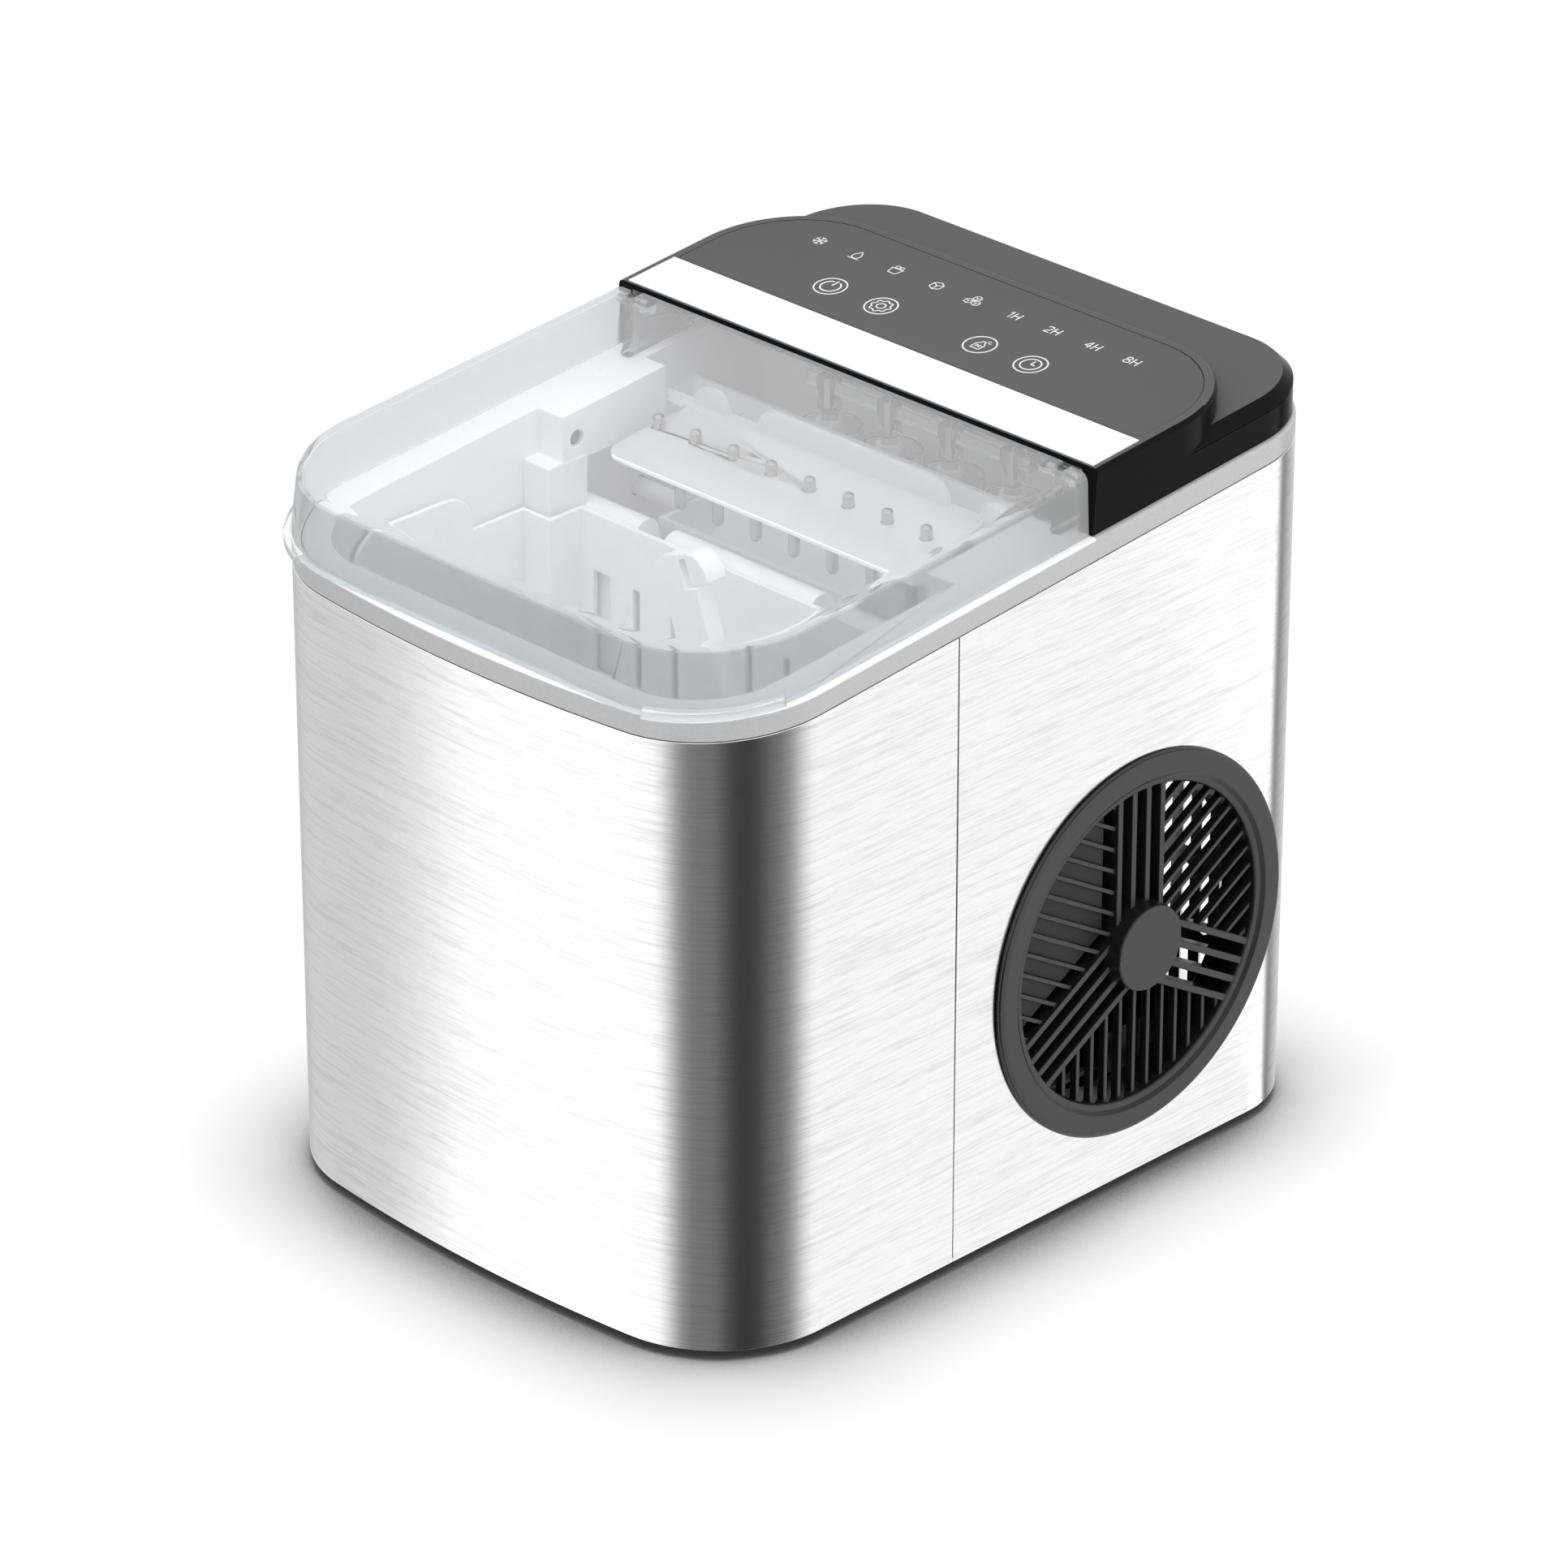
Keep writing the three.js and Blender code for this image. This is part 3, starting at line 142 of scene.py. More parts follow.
def seenBy(tree, *rays):  # 1 for any of these kinds of ray
    path = newNode(tree, "LightPath")
    value = path.outputs[rays[0]]
    for ray in rays[1:]:
        value = combine(tree, "MAXIMUM", value, path.outputs[ray])
    return value


def addWorld(s):
    world = bpy.data.worlds.new("studioWorld")
    scene.world = world
    tree = emptied(world)
    light = newNode(tree, "Background", {"Color": (1, 1, 1, 1), "Strength": s["worldLight"]})
    white = newNode(tree, "Background", {"Color": (1, 1, 1, 1)})
    seen = seenBy(tree, "Is Camera Ray", "Is Glossy Ray", "Is Transmission Ray")
    shown(tree, mixed(tree, seen, light, white), "World")


def setCurve(curve, places):
    line = curve.mapping.curves[0]
    line.points[0].location = places[0]
    line.points[-1].location = places[-1]
    for place in places[1:-1]:
        line.points.new(*place)
    curve.mapping.update()


def addFloor(s):
    half = s["floorSize"] / 2
    mesh = bpy.data.meshes.new("studioFloor")
    corners = [(-half, -half, 0), (half, -half, 0), (half, half, 0), (-half, half, 0)]
    mesh.from_pydata(corners, [], [(0, 1, 2, 3)])
    m = bpy.data.materials.new("floorWhite")
    tree = emptied(m)
    # painted shadow: the floor the camera sees glows by a curve of ambient occlusion, darker close to the
    # machine
    near = newNode(tree, "AmbientOcclusion", {"Distance": s["shadeReach"]}, samples=8)
    shade = newNode(tree, "FloatCurve", {"Value": near.outputs["AO"]})
    setCurve(shade, s["shade"])
    lit = newNode(tree, "Emission", {"Strength": shade.outputs[0]})
    sheen = newNode(tree, "BsdfGlossy", {"Roughness": s["sheenRough"]})
    matt = newNode(tree, "BsdfDiffuse", {"Color": (s["floorColour"],) * 3 + (1,)})
    plain = mixed(tree, seenBy(tree, "Is Camera Ray"), matt, mixed(tree, s["floorSheen"], lit, sheen))
    white = newNode(tree, "Emission")
    shown(tree, mixed(tree, seenBy(tree, "Is Glossy Ray", "Is Transmission Ray"), plain, white))
    mesh.materials.append(m)
    floor = placed("studioFloor", mesh)


def valueAt(places, key):
    for (a, low), (b, high) in zip(places, places[1:]):
        if a <= key <= b:
            return low + (high - low) * (key - a) / (b - a)
    return places[0][1] if key < places[0][0] else places[-1][1]


def frontArcs(s, inset=0.0):  # the bow's radius and centre, the corner's too, and the angle where they meet
    bowR = (s["half"] ** 2 + s["bow"] ** 2) / (2 * s["bow"]) - inset
    cornerR = max(s["frontR"] - inset, 1)
    cy, fx = s["front"] + inset + bowR, s["half"] - inset - cornerR
    fy = cy - sqrt((bowR - cornerR) ** 2 - fx ** 2)
    return bowR, cy, cornerR, fx, fy, atan2(fy - cy, fx)


def cardLine(s, b):  # points round the foot of the machine, the way that each faces and its level
    bowR, cy, frontR, fx, fy, contact = frontArcs(b)
    left, rear = radians(s["leftEnd"]), radians(s["rearEnd"])
    line = []
    for cx, y, r, a0, a1, n, kind in (
            (-fx, fy, frontR, left, -pi - contact, 60, "facing"),
            (0, cy, bowR, -pi - contact, contact, 60, "along"),
            (fx, fy, frontR, contact, 0, 140, "turning"),
            (b["half"] - b["rearR"], b["back"] - b["rearR"], b["rearR"], 0, rear, 60, "turning")):
        for i in range(n + 1):
            a = a0 + (a1 - a0) * i / n
            x = cx + r * cos(a)
            line.append((x, y + r * sin(a), a, valueAt(s[kind], x if kind == "along" else degrees(a))))
    return line


def addCard(s):  # a shaded sheet on the floor that only mirror rays from above see
    line = cardLine(s, bodyShape)
    points, levels, faces = [], [], []
    for x, y, a, level in line:
        way = 2 * a + pi / 4
        for k in range(s["steps"] + 1):
            far = s["reach"] * (k / s["steps"]) ** 2 - 0.002
            points.append(((x + offset[0]) * mm + far * cos(way), (y + offset[1]) * mm + far * sin(way),
                           s["height"]))
            levels.append(level)
    row = s["steps"] + 1
    for i in range(len(line) - 1):
        for k in range(s["steps"]):
            faces.append((i * row + k, i * row + k + 1, (i + 1) * row + k + 1, (i + 1) * row + k))
    mesh = bpy.data.meshes.new("studioCard")
    mesh.from_pydata(points, [], faces)
    mesh.attributes.new("level", "FLOAT", "POINT").data.foreach_set("value", levels)
    card = placed("studioCard", mesh)
    for kind in ("camera", "diffuse", "transmission", "volume_scatter", "shadow"):
        setattr(card, "visible_" + kind, False)
    m = bpy.data.materials.new("cardShade")
    tree = emptied(m)
    read = newNode(tree, "Attribute", attribute_name="level")
    shown(tree, newNode(tree, "Emission", {"Strength": read.outputs["Fac"]}))
    mesh.materials.append(m)


addCamera(cameraSettings)
addWorld(studioSettings)
addFloor(studioSettings)
addCard(cardSettings)
for lampName, lampValues in lampSettings.items():
    addLamp(lampName, lampValues)
scene.view_settings.view_transform = "Standard"
print("studio ready")


# finishes
def newFinish(name, colour, roughness, metallic=0.0):
    m = bpy.data.materials.new(name)
    tree = emptied(m)
    surface = newNode(tree, "BsdfPrincipled",
                      {"Base Color": (*colour, 1), "Roughness": roughness, "Metallic": metallic})
    shown(tree, surface)
    return m, tree, surface


def pattern(tree, scale, detail, roughness, centre=(0, 0, 0)):
    place = newNode(tree, "TexCoord")
    fit = newNode(tree, "Mapping", {"Vector": place.outputs["Object"], "Location": centre, "Scale": scale})
    noise = newNode(tree, "TexNoise",
                    {"Vector": fit.outputs["Vector"], "Scale": 1.0, "Detail": detail, "Roughness": roughness})
    return noise.outputs["Fac"]


def between(tree, value, low, high, first, last):  # value low..high gives first..last
    spread = newNode(tree, "MapRange",
                     {"Value": value, "From Min": low, "From Max": high, "To Min": first, "To Max": last})
    return spread.outputs["Result"]


def twoColours(tree, share, first, last):
    mix = newNode(tree, "Mix", {"Factor": share, "A": (*first, 1), "B": (*last, 1)}, data_type="RGBA")
    return mix.outputs["Result"]


def relief(tree, surface, height, distance, strength=0.4):
    bump = newNode(tree, "Bump", {"Height": height, "Distance": distance, "Strength": strength})
    feed(tree, surface, {"Normal": bump.outputs["Normal"]})


steelSettings = {"bright": (0.97, 0.97, 0.972), "dull": (0.80, 0.80, 0.805), "fine": (75, 75, 2300),
                 "broad": (22, 22, 700), "broadCentre": (3.1, 0.7, 9.2), "fineShare": 0.6, "broadShare": 0.4,
                 "rough": (0.16, 0.24), "grainDepth": 0.012 * mm}


def brushedSteel(name, s):
    m, tree, surface = newFinish(name, s["bright"], 0.2, 1.0)
    fine = pattern(tree, s["fine"], 3.0, 0.6)
    broad = pattern(tree, s["broad"], 2.0, 0.5, s["broadCentre"])
    both = combine(tree, "ADD", combine(tree, "MULTIPLY", fine, s["fineShare"]),
                   combine(tree, "MULTIPLY", broad, s["broadShare"]))
    feed(tree, surface, {
        "Base Color": twoColours(tree, between(tree, both, 0.38, 0.54, 0.0, 1.0), s["dull"], s["bright"]),
        "Roughness": between(tree, both, 0.35, 0.65, s["rough"][1], s["rough"][0])})
    relief(tree, surface, fine, s["grainDepth"])
    return m


def moulded(name, colour, rough, grain, shade=0.94, ior=1.5, gloss=0.5, depth=0.0):  # depth of grain in mm
    m, tree, surface = newFinish(name, colour, rough)
    marks = pattern(tree, (grain,) * 3, 2.0, 0.5)
    dull = tuple(x * shade for x in colour)
    feed(tree, surface, {
        "Base Color": twoColours(tree, between(tree, marks, 0.35, 0.65, 0.0, 1.0), dull, colour),
        "Roughness": between(tree, marks, 0.3, 0.7, rough * 0.9, rough * 1.12),
        "IOR": ior, "Specular IOR Level": gloss})
    if depth:
        relief(tree, surface, marks, depth * mm)
    return m


def clearPlastic(name, colour, rough, ior, shadow, veil=0.0, veilColour=(0.9, 0.91, 0.92)):
    m, tree, surface = newFinish(name, colour, rough)
    haze = pattern(tree, (60, 60, 60), 2.0, 0.5)
    feed(tree, surface, {"Transmission Weight": 1.0, "IOR": ior,
                         "Roughness": between(tree, haze, 0.3, 0.7, rough, rough * 1.6)})
    veiled = mixed(tree, veil, surface, newNode(tree, "BsdfDiffuse", {"Color": (*veilColour, 1)}))
    through = newNode(tree, "BsdfTransparent", {"Color": (*shadow, 1)})
    out = [n for n in tree.nodes if n.type == "OUTPUT_MATERIAL"][0]
    feed(tree, out, {"Surface": mixed(tree, seenBy(tree, "Is Shadow Ray"), veiled, through).outputs[0]})
    return m


def bareMetal(name, colour, rough, mottle, shade=0.7):
    m, tree, surface = newFinish(name, colour, rough, 1.0)
    marks = pattern(tree, (mottle,) * 3, 3.0, 0.6)
    dull = tuple(x * shade for x in colour)
    feed(tree, surface, {
        "Base Color": twoColours(tree, between(tree, marks, 0.35, 0.62, 0.0, 1.0), dull, colour),
        "Roughness": between(tree, marks, 0.3, 0.7, rough * 1.3, rough * 0.8)})
    return m


finishes = {
    "steel": brushedSteel("brushedSteel", steelSettings),
    "band": moulded("bandSatinGrey", (0.52, 0.52, 0.525), 0.22, 900, depth=0.005),
    "black": moulded("consoleBlack", (0.008, 0.008, 0.0083), 0.14, 700, ior=1.3, gloss=0.1),
    "deck": moulded("deckGrey", (0.108, 0.108, 0.11), 0.55, 1500, depth=0.006, ior=1.35, gloss=0.3),
    "overlay": moulded("overlayFilm", (0.108, 0.108, 0.11), 0.6, 2200, depth=0.005, ior=1.35, gloss=0.3),
    "print": moulded("printWhite", (0.9, 0.9, 0.9), 0.6, 900, shade=0.97),
    # white of the panel strip; also painted on the top band as a highlight, and on the cover's front edge
    "strip": moulded("stripWhiteAndHighlight", (0.97, 0.97, 0.97), 0.15, 300, shade=0.99),
    "liner": moulded("linerWhite", (0.84, 0.855, 0.865), 0.3, 500, shade=0.98),
    "grille": moulded("grilleBlack", (0.010, 0.010, 0.010), 0.25, 800, ior=1.4),
    # painted reflection: the grey that black plastic shows where its outward faces mirror the white floor
    "grilleFace": moulded("grilleFacePaintedReflection", (0.066,) * 3, 0.5, 1400, depth=0.004, ior=1.35, gloss=0.3),
    # painted reflection, dimmer, for the outward face of the plate set back behind the bars
    "grillePlate": moulded("grillePlatePaintedReflection", (0.024,) * 3, 0.45, 1100, depth=0.004, ior=1.35, gloss=0.4),
    "rubber": moulded("footRubber", (0.02, 0.02, 0.02), 0.8, 1200, depth=0.03),
    "motor": moulded("motorGrey", (0.1, 0.1, 0.105), 0.5, 600),
    "enamel": moulded("enamelBlack", (0.012, 0.012, 0.012), 0.35, 250, depth=0.05),
    "board": moulded("boardGreen", (0.03, 0.14, 0.06), 0.4, 400, shade=0.7),
    "smoke": clearPlastic("hingeSmoke", (0.72, 0.74, 0.76), 0.05, 1.2, (0.7, 0.7, 0.7)),
    "lid": clearPlastic("lidClear", (0.95, 0.965, 0.975), 0.008, 1.09, (0.95, 0.96, 0.97), 0.17),
    # painted shade: a greyer, darker copy of the clear lid finish for its upright walls
    "lidWall": clearPlastic("lidWallPaintedShade", (0.67, 0.69, 0.70), 0.012, 1.07, (0.88, 0.9, 0.91), 0.3,
                            (0.65, 0.665, 0.67)),
    "frost": clearPlastic("coverFrost", (0.94, 0.945, 0.95), 0.02, 1.04, (0.97, 0.97, 0.975), 0.28,
                          (0.95, 0.95, 0.955)),
    "clear": clearPlastic("partClear", (0.95, 0.965, 0.97), 0.02, 1.36, (0.94, 0.95, 0.96), 0.1),
    "nickel": bareMetal("nickelPlate", (0.4, 0.405, 0.41), 0.16, 300, shade=0.9),
    "copper": bareMetal("copperPipe", (0.75, 0.38, 0.22), 0.28, 200),
    "fin": bareMetal("finAluminium", (0.8, 0.81, 0.83), 0.35, 400),
}
moving = {"lid": "lid", "fan_blade": "fan", "water_tray": "tray", "ice_shovel": "shovel",
          "ice_basket": "basket", "ice_scoop": "scoop", "drain_cap": "drain_cap"}
print("finishes set")


# mesh tools
@contextmanager
def editing(mesh):
    bm = bmesh.new()
    bm.from_mesh(mesh)
    yield bm
    bm.to_mesh(mesh)
    bm.free()


def quarter(steps, first=0, last=None):  # angles of a quarter turn
    return [pi / 2 * i / steps for i in range(first, steps + 1 if last is None else last)]


def arc(cx, cy, r, a0, a1, n):
    return [(cx + r * cos(a0 + (a1 - a0) * i / n), cy + r * sin(a0 + (a1 - a0) * i / n))
            for i in range(n + 1)]


def withoutRepeats(points):
    kept = [p for i, p in enumerate(points) if i == 0 or dist(p, points[i - 1]) > 1e-3]
    return kept[:-1] if dist(kept[0], kept[-1]) < 1e-3 else kept


def roundedBox(x0, x1, y0, y1, radii, n=8):  # radii: front right, rear right, rear left, front left
    def corner(cx, cy, r, sx, sy, a0):
        return [(cx, cy)] if r < 0.05 else arc(cx - sx * r, cy - sy * r, r, a0, a0 + pi / 2, n)
    fr, rr, rl, fl = radii
    return withoutRepeats(corner(x1, y0, fr, 1, -1, -pi / 2) + corner(x1, y1, rr, 1, 1, 0)
                          + corner(x0, y1, rl, -1, 1, pi / 2) + corner(x0, y0, fl, -1, -1, pi))


def footprint(s, inset=0.0, fine=3):  # bowed front and four round corners
    bowR, cy, fr, fx, fy, contact = frontArcs(s, inset)
    half, back, rr = s["half"] - inset, s["back"] - inset, max(s["rearR"] - inset, 1)
    return withoutRepeats(arc(0, cy, bowR, -pi - contact, contact, 8 * fine)
                          + arc(fx, fy, fr, contact, 0, 12 * fine)
                          + arc(half - rr, back - rr, rr, 0, pi / 2, 9 * fine)
                          + arc(-half + rr, back - rr, rr, pi / 2, pi, 9 * fine)
                          + arc(-fx, fy, fr, pi, pi * 2 - (pi + contact), 12 * fine))


def shape(name, points, faces, finish="black"):
    mesh = bpy.data.meshes.new(name)
    mesh.from_pydata([((x + offset[0]) * mm, (y + offset[1]) * mm, z * mm) for x, y, z in points], [], faces)
    with editing(mesh) as bm:
        bmesh.ops.remove_doubles(bm, verts=bm.verts, dist=1e-6)
        bmesh.ops.recalc_face_normals(bm, faces=bm.faces)
    mesh.materials.append(finishes[finish])
    return placed(name, mesh)


def loft(name, rings, finish="black", loop=False):  # rings of equal length joined in order
    n = len(rings[0])
    points = [p for ring in rings for p in ring]
    faces = []
    for j in range(len(rings) if loop else len(rings) - 1):
        a, b = j * n, ((j + 1) % len(rings)) * n
        faces += [(a + i, a + (i + 1) % n, b + (i + 1) % n, b + i) for i in range(n)]
    if not loop:
        faces += [tuple(reversed(range(n))), tuple(range((len(rings) - 1) * n, len(rings) * n))]
    return shape(name, points, faces, finish)


def prism(name, outline, z0, z1, finish="black"):
    return loft(name, [[(x, y, z0) for x, y in outline], [(x, y, z1) for x, y in outline]], finish)


def alongX(name, outline, x0, x1, finish="black"):  # outline in y, z
    return loft(name, [[(x0, y, z) for y, z in outline], [(x1, y, z) for y, z in outline]], finish)


def alongY(name, outline, y0, y1, finish="black"):  # outline in x, z
    return loft(name, [[(x, y0, z) for x, z in outline], [(x, y1, z) for x, z in outline]], finish)


def block(name, x0, x1, y0, y1, z0, z1, finish="black"):
    return prism(name, [(x0, y0), (x1, y0), (x1, y1), (x0, y1)], z0, z1, finish)


def rodX(name, r, x0, x1, y, z, n=48, finish="black"):
    return alongX(name, arc(y, z, r, 0, 2 * pi, n)[:-1], x0, x1, finish)


def turnedX(name, profile, y, z, n=96, finish="black"):  # closed profile of (x, radius) round an axis along X
    turns = [2 * pi * i / n for i in range(n)]
    rings = [[(x, y + r * cos(a), z + r * sin(a)) for a in turns] for x, r in profile]
    return loft(name, rings, finish, loop=True)


def turnedZ(name, profile, x, y, n=32, finish="black"):  # closed profile of (radius, z) round a vertical axis
    turns = [2 * pi * i / n for i in range(n)]
    rings = [[(x + r * cos(a), y + r * sin(a), z) for a in turns] for r, z in profile]
    return loft(name, rings, finish, loop=True)


def applied(obj):
    mesh = bpy.data.meshes.new_from_object(obj.evaluated_get(bpy.context.evaluated_depsgraph_get()))
    obj.modifiers.clear()
    obj.data = mesh
    return obj


def carve(obj, *tools, kind="DIFFERENCE"):
    for tool in tools:
        step = obj.modifiers.new("carve", "BOOLEAN")
        step.operation = kind
        step.solver = "MANIFOLD"
        step.object = tool
        applied(obj)
        bpy.data.objects.remove(tool)
    return obj


def joined(obj, *tools):
    return carve(obj, *tools, kind="UNION")


def together(name, *parts):  # several closed shapes in one mesh
    bm = bmesh.new()
    found = []
    for part in parts:
        own = []
        for m in part.data.materials:
            if m not in found:
                found.append(m)
            own.append(found.index(m))
        first = len(bm.faces)
        bm.from_mesh(part.data)
        bm.faces.ensure_lookup_table()
        for face in bm.faces[first:]:
            face.material_index = own[face.material_index] if own else 0
    mesh = bpy.data.meshes.new(name)
    bm.to_mesh(mesh)
    bm.free()
    for m in found:
        mesh.materials.append(m)
    for part in parts:
        bpy.data.objects.remove(part)
    return placed(name, mesh)


# small rounds on the sharp edges, soft shading elsewhere
def smoothed(obj, width=0.4, angle=35, segments=2, flat=0.3):
    with editing(obj.data) as bm:
        bmesh.ops.remove_doubles(bm, verts=bm.verts, dist=2e-6)
        if flat:
            bmesh.ops.dissolve_limit(bm, angle_limit=radians(flat), verts=bm.verts, edges=bm.edges,
                                     delimit={"MATERIAL"})
        for face in bm.faces:
            face.smooth = True
    if width:
        edge = obj.modifiers.new("edges", "BEVEL")
        edge.width = width * mm
        edge.segments = segments
        edge.limit_method = "ANGLE"
        edge.angle_limit = radians(angle)
        edge.use_clamp_overlap = False
        edge.miter_outer = "MITER_ARC"
        applied(obj)
    obj.data.set_sharp_from_angle(angle=radians(40))
    even = obj.modifiers.new("evenNormals", "WEIGHTED_NORMAL")
    even.keep_sharp = True
    even.weight = 60
    return applied(obj)


def stands(obj, finish, *names, body=None):  # rides with the nodes that it stands for
    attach(obj, body or moving.get(names[0], "housing"))
    if names:
        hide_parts(*names)
    return obj


def softCopy(name, node, finish, width=0.4, angle=35, segments=2, **more):
    mesh = nodes[node].data.copy()
    mesh.materials.clear()
    mesh.materials.append(finishes[finish])
    return stands(smoothed(placed(name, mesh), width, angle, segments, **more), finish, node)


def paintWhere(obj, finish, test):  # another finish on the faces that pass the test
    obj.data.materials.append(finishes[finish])
    index = len(obj.data.materials) - 1
    for face in obj.data.polygons:
        if test(face):
            face.material_index = index
    return obj


def splitAt(obj, y):  # a line across the faces, square to the depth
    with editing(obj.data) as bm:
        bmesh.ops.bisect_plane(bm, geom=bm.verts[:] + bm.edges[:] + bm.faces[:],
                               plane_co=(0, (y + offset[1]) * mm, 0), plane_no=(0, 1, 0))


# repeats made with Geometry Nodes
def gridTree():  # an item in columns and rows
    tree = bpy.data.node_groups.new("gridOfItems", "GeometryNodeTree")
    tree.interface.new_socket("Geometry", in_out="OUTPUT", socket_type="NodeSocketGeometry")
    for label, kind in (("Columns", "Int"), ("Column Step", "Vector"), ("Rows", "Int"),
                        ("Row Step", "Vector"), ("Start", "Vector"), ("Item", "Object"),
                        ("Finish", "Material")):
        tree.interface.new_socket(label, in_out="INPUT", socket_type="NodeSocket" + kind)
    given, out = tree.nodes.new("NodeGroupInput"), tree.nodes.new("NodeGroupOutput")
    kinds = ("MeshLine", "MeshLine", "InstanceOnPoints", "RealizeInstances", "ObjectInfo", "InstanceOnPoints",
             "RealizeInstances", "SetMaterial")
    made = [tree.nodes.new("GeometryNode" + kind) for kind in kinds]
    across, up, spread, points, item, place, real, coat = made
    item.inputs["As Instance"].default_value = True
    for first, start, second, end in (
            (given, "Columns", across, "Count"), (given, "Column Step", across, "Offset"),
            (given, "Start", across, "Start Location"), (given, "Rows", up, "Count"),
            (given, "Row Step", up, "Offset"), (across, 0, spread, "Points"), (up, 0, spread, "Instance"),
            (spread, 0, points, 0), (given, "Item", item, "Object"), (points, 0, place, "Points"),
            (item, "Geometry", place, "Instance"), (place, 0, real, 0), (real, 0, coat, "Geometry"),
            (given, "Finish", coat, "Material"), (coat, 0, out, 0)):
        tree.links.new(first.outputs[start], second.inputs[end])
    return tree


def grown(name, tree, **values):  # runs a tree and keeps its mesh
    obj = placed(name, bpy.data.meshes.new(name))
    step = obj.modifiers.new("repeat", "NODES")
    step.node_group = tree
    for socket in tree.interface.items_tree:
        if socket.in_out == "INPUT" and socket.name in values:
            step[socket.identifier] = values[socket.name]
    bpy.context.view_layer.update()
    applied(obj)
    with editing(obj.data) as bm:
        bmesh.ops.remove_doubles(bm, verts=bm.verts, dist=1e-6)
    return obj


gridOfItems = gridTree()


def grid(name, item, finish, start, columns, columnStep, rows=1, rowStep=(0, 0, 0)):
    values = {"Columns": columns, "Column Step": [v * mm for v in columnStep], "Rows": rows,
              "Row Step": [v * mm for v in rowStep], "Start": [v * mm for v in start], "Item": item,
              "Finish": finishes[finish]}
    obj = grown(name, gridOfItems, **values)
    bpy.data.objects.remove(item)
    return obj


# steel shells and top band
steelShape = {"thick": 1.0, "bottom": 3.5, "top": 234.0, "seam": -31.5, "seamGap": 0.4, "hem": 0.35}
fanPlace = {"y": 55.5, "z": 90.0, "holeR": 60.5}
ventShape = {"width": 3.8, "height": 25.0, "pitchX": 8.8, "pitchZ": 31.5, "columns": 10, "rows": 3,
             "x": 67.6, "z": 7.5}
drainPlace = {"y": -90.0, "z": 58.0, "holeR": 11.5}
cordPlace = {"x": -70.0, "z": 32.0, "holeR": 8.0}


def planeRing(outline, z0, tilt=slope):
    return [(x, y, z0 + tilt * y) for x, y in outline]


def makeShells(s):
    def wall():
        h, t = s["hem"], s["thick"]
        levels = ((h, s["bottom"], 0), (0, s["bottom"] + h, 0), (0, s["top"], slope), (t, s["top"], slope),
                  (t, s["bottom"], 0))
        rings = [planeRing(footprint(bodyShape, inset), z, tilt) for inset, z, tilt in levels]
        return loft("steelWall", rings, "steel", loop=True)
    seam = s["seamGap"] / 2
    front = carve(wall(), block("frontHalf", -200, 200, -300, s["seam"] - seam, -10, 400), kind="INTERSECT")
    front.name = "frontWrapSteel"
    carve(front, rodX("drainHole", drainPlace["holeR"], -118, -106, drainPlace["y"], drainPlace["z"]))
    rear = carve(wall(), block("rearHalf", -200, 200, s["seam"] + seam, 300, -10, 400), kind="INTERSECT")
    rear.name = "rearShellSteel"
    carve(rear, rodX("grilleHole", fanPlace["holeR"], 106, 118, fanPlace["y"], fanPlace["z"], 96))
    cord = cordPlace
    hole = arc(cord["x"], cord["z"], cord["holeR"], 0, 2 * pi, 40)[:-1]
    carve(rear, alongY("cordHole", hole, 140, 156))
    v = ventShape
    end = v["width"] / 2
    outline = roundedBox(v["x"] - end, v["x"] + end, v["z"], v["z"] + v["height"], [end] * 4, 5)
    slit = alongY("ventSlot", outline, 143, 154)
    carve(rear, grid("ventSlots", slit, "steel", (0, 0, 0), v["columns"], (-v["pitchX"], 0, 0), v["rows"],
                     (0, 0, v["pitchZ"])))
    for obj, node in ((front, "front_wrap"), (rear, "rear_shell")):
        stands(smoothed(obj, 0.15, 35, 1), "steel", node)


bandShape = {"low": 234.3, "top": 242.1, "round": 1.3, "wall": 3.0, "skirt": 228.0, "skirtIn": 1.3,
             "chamfer": 0.25, "highlightTo": 31.6}


def makeTopBand(s):
    r = s["round"]
    section = [(s["chamfer"], s["low"]), (0.0, s["low"] + s["chamfer"])]
    section += [(r - r * cos(a), s["top"] - r + r * sin(a)) for a in quarter(6)]
    section += [(s["wall"], s["top"]), (s["wall"], s["skirt"]), (s["skirtIn"], s["skirt"]),
                (s["skirtIn"], s["low"])]
    band = loft("topBandGrey", [planeRing(footprint(bodyShape, d), z) for d, z in section], "band", loop=True)
    smoothed(band, 0)
    # painted highlight: the band's top faces in front of the console get the bright white strip finish, as a
    # lit line
    splitAt(band, s["highlightTo"])
    paintWhere(band, "strip", lambda face: face.normal.z > 0.5
               and face.center.y < (s["highlightTo"] + offset[1]) * mm)
    stands(band, "band", "top_band")


makeShells(steelShape)
makeTopBand(bandShape)
print("steel shells and band made")

# lid
lidShape = {"half": 110.4, "front": -142.0, "back": 30.6, "backMid": 31.7, "midHalf": 99.0, "cornerR": 45.0,
            "wall": 2.5, "top": 265.0, "slope": 0.08, "lean": 5.5, "round": 3.6, "rest": 242.4,
            "leanFrom": 225.0, "leanTo": 262.0, "narrowing": 0.014, "lipRise": 3.1, "lipOut": 1.4,
            "lipIn": 1.5}
hingeShape = {"y": 29.8, "z": 264.184, "pinR": 1.3, "knuckleR": 2.7, "armIn": 97.0, "armOut": 101.0,
              "gap": 0.3, "notch": 3.6}


def leaned(s, x, y, z):
    t = (z - s["leanFrom"]) / (s["leanTo"] - s["leanFrom"])
    forward = min(max((-20 - y) / (-20 - s["front"]), 0), 1)
    return x * (1 - s["narrowing"] * t), y + s["lean"] * forward * t, z


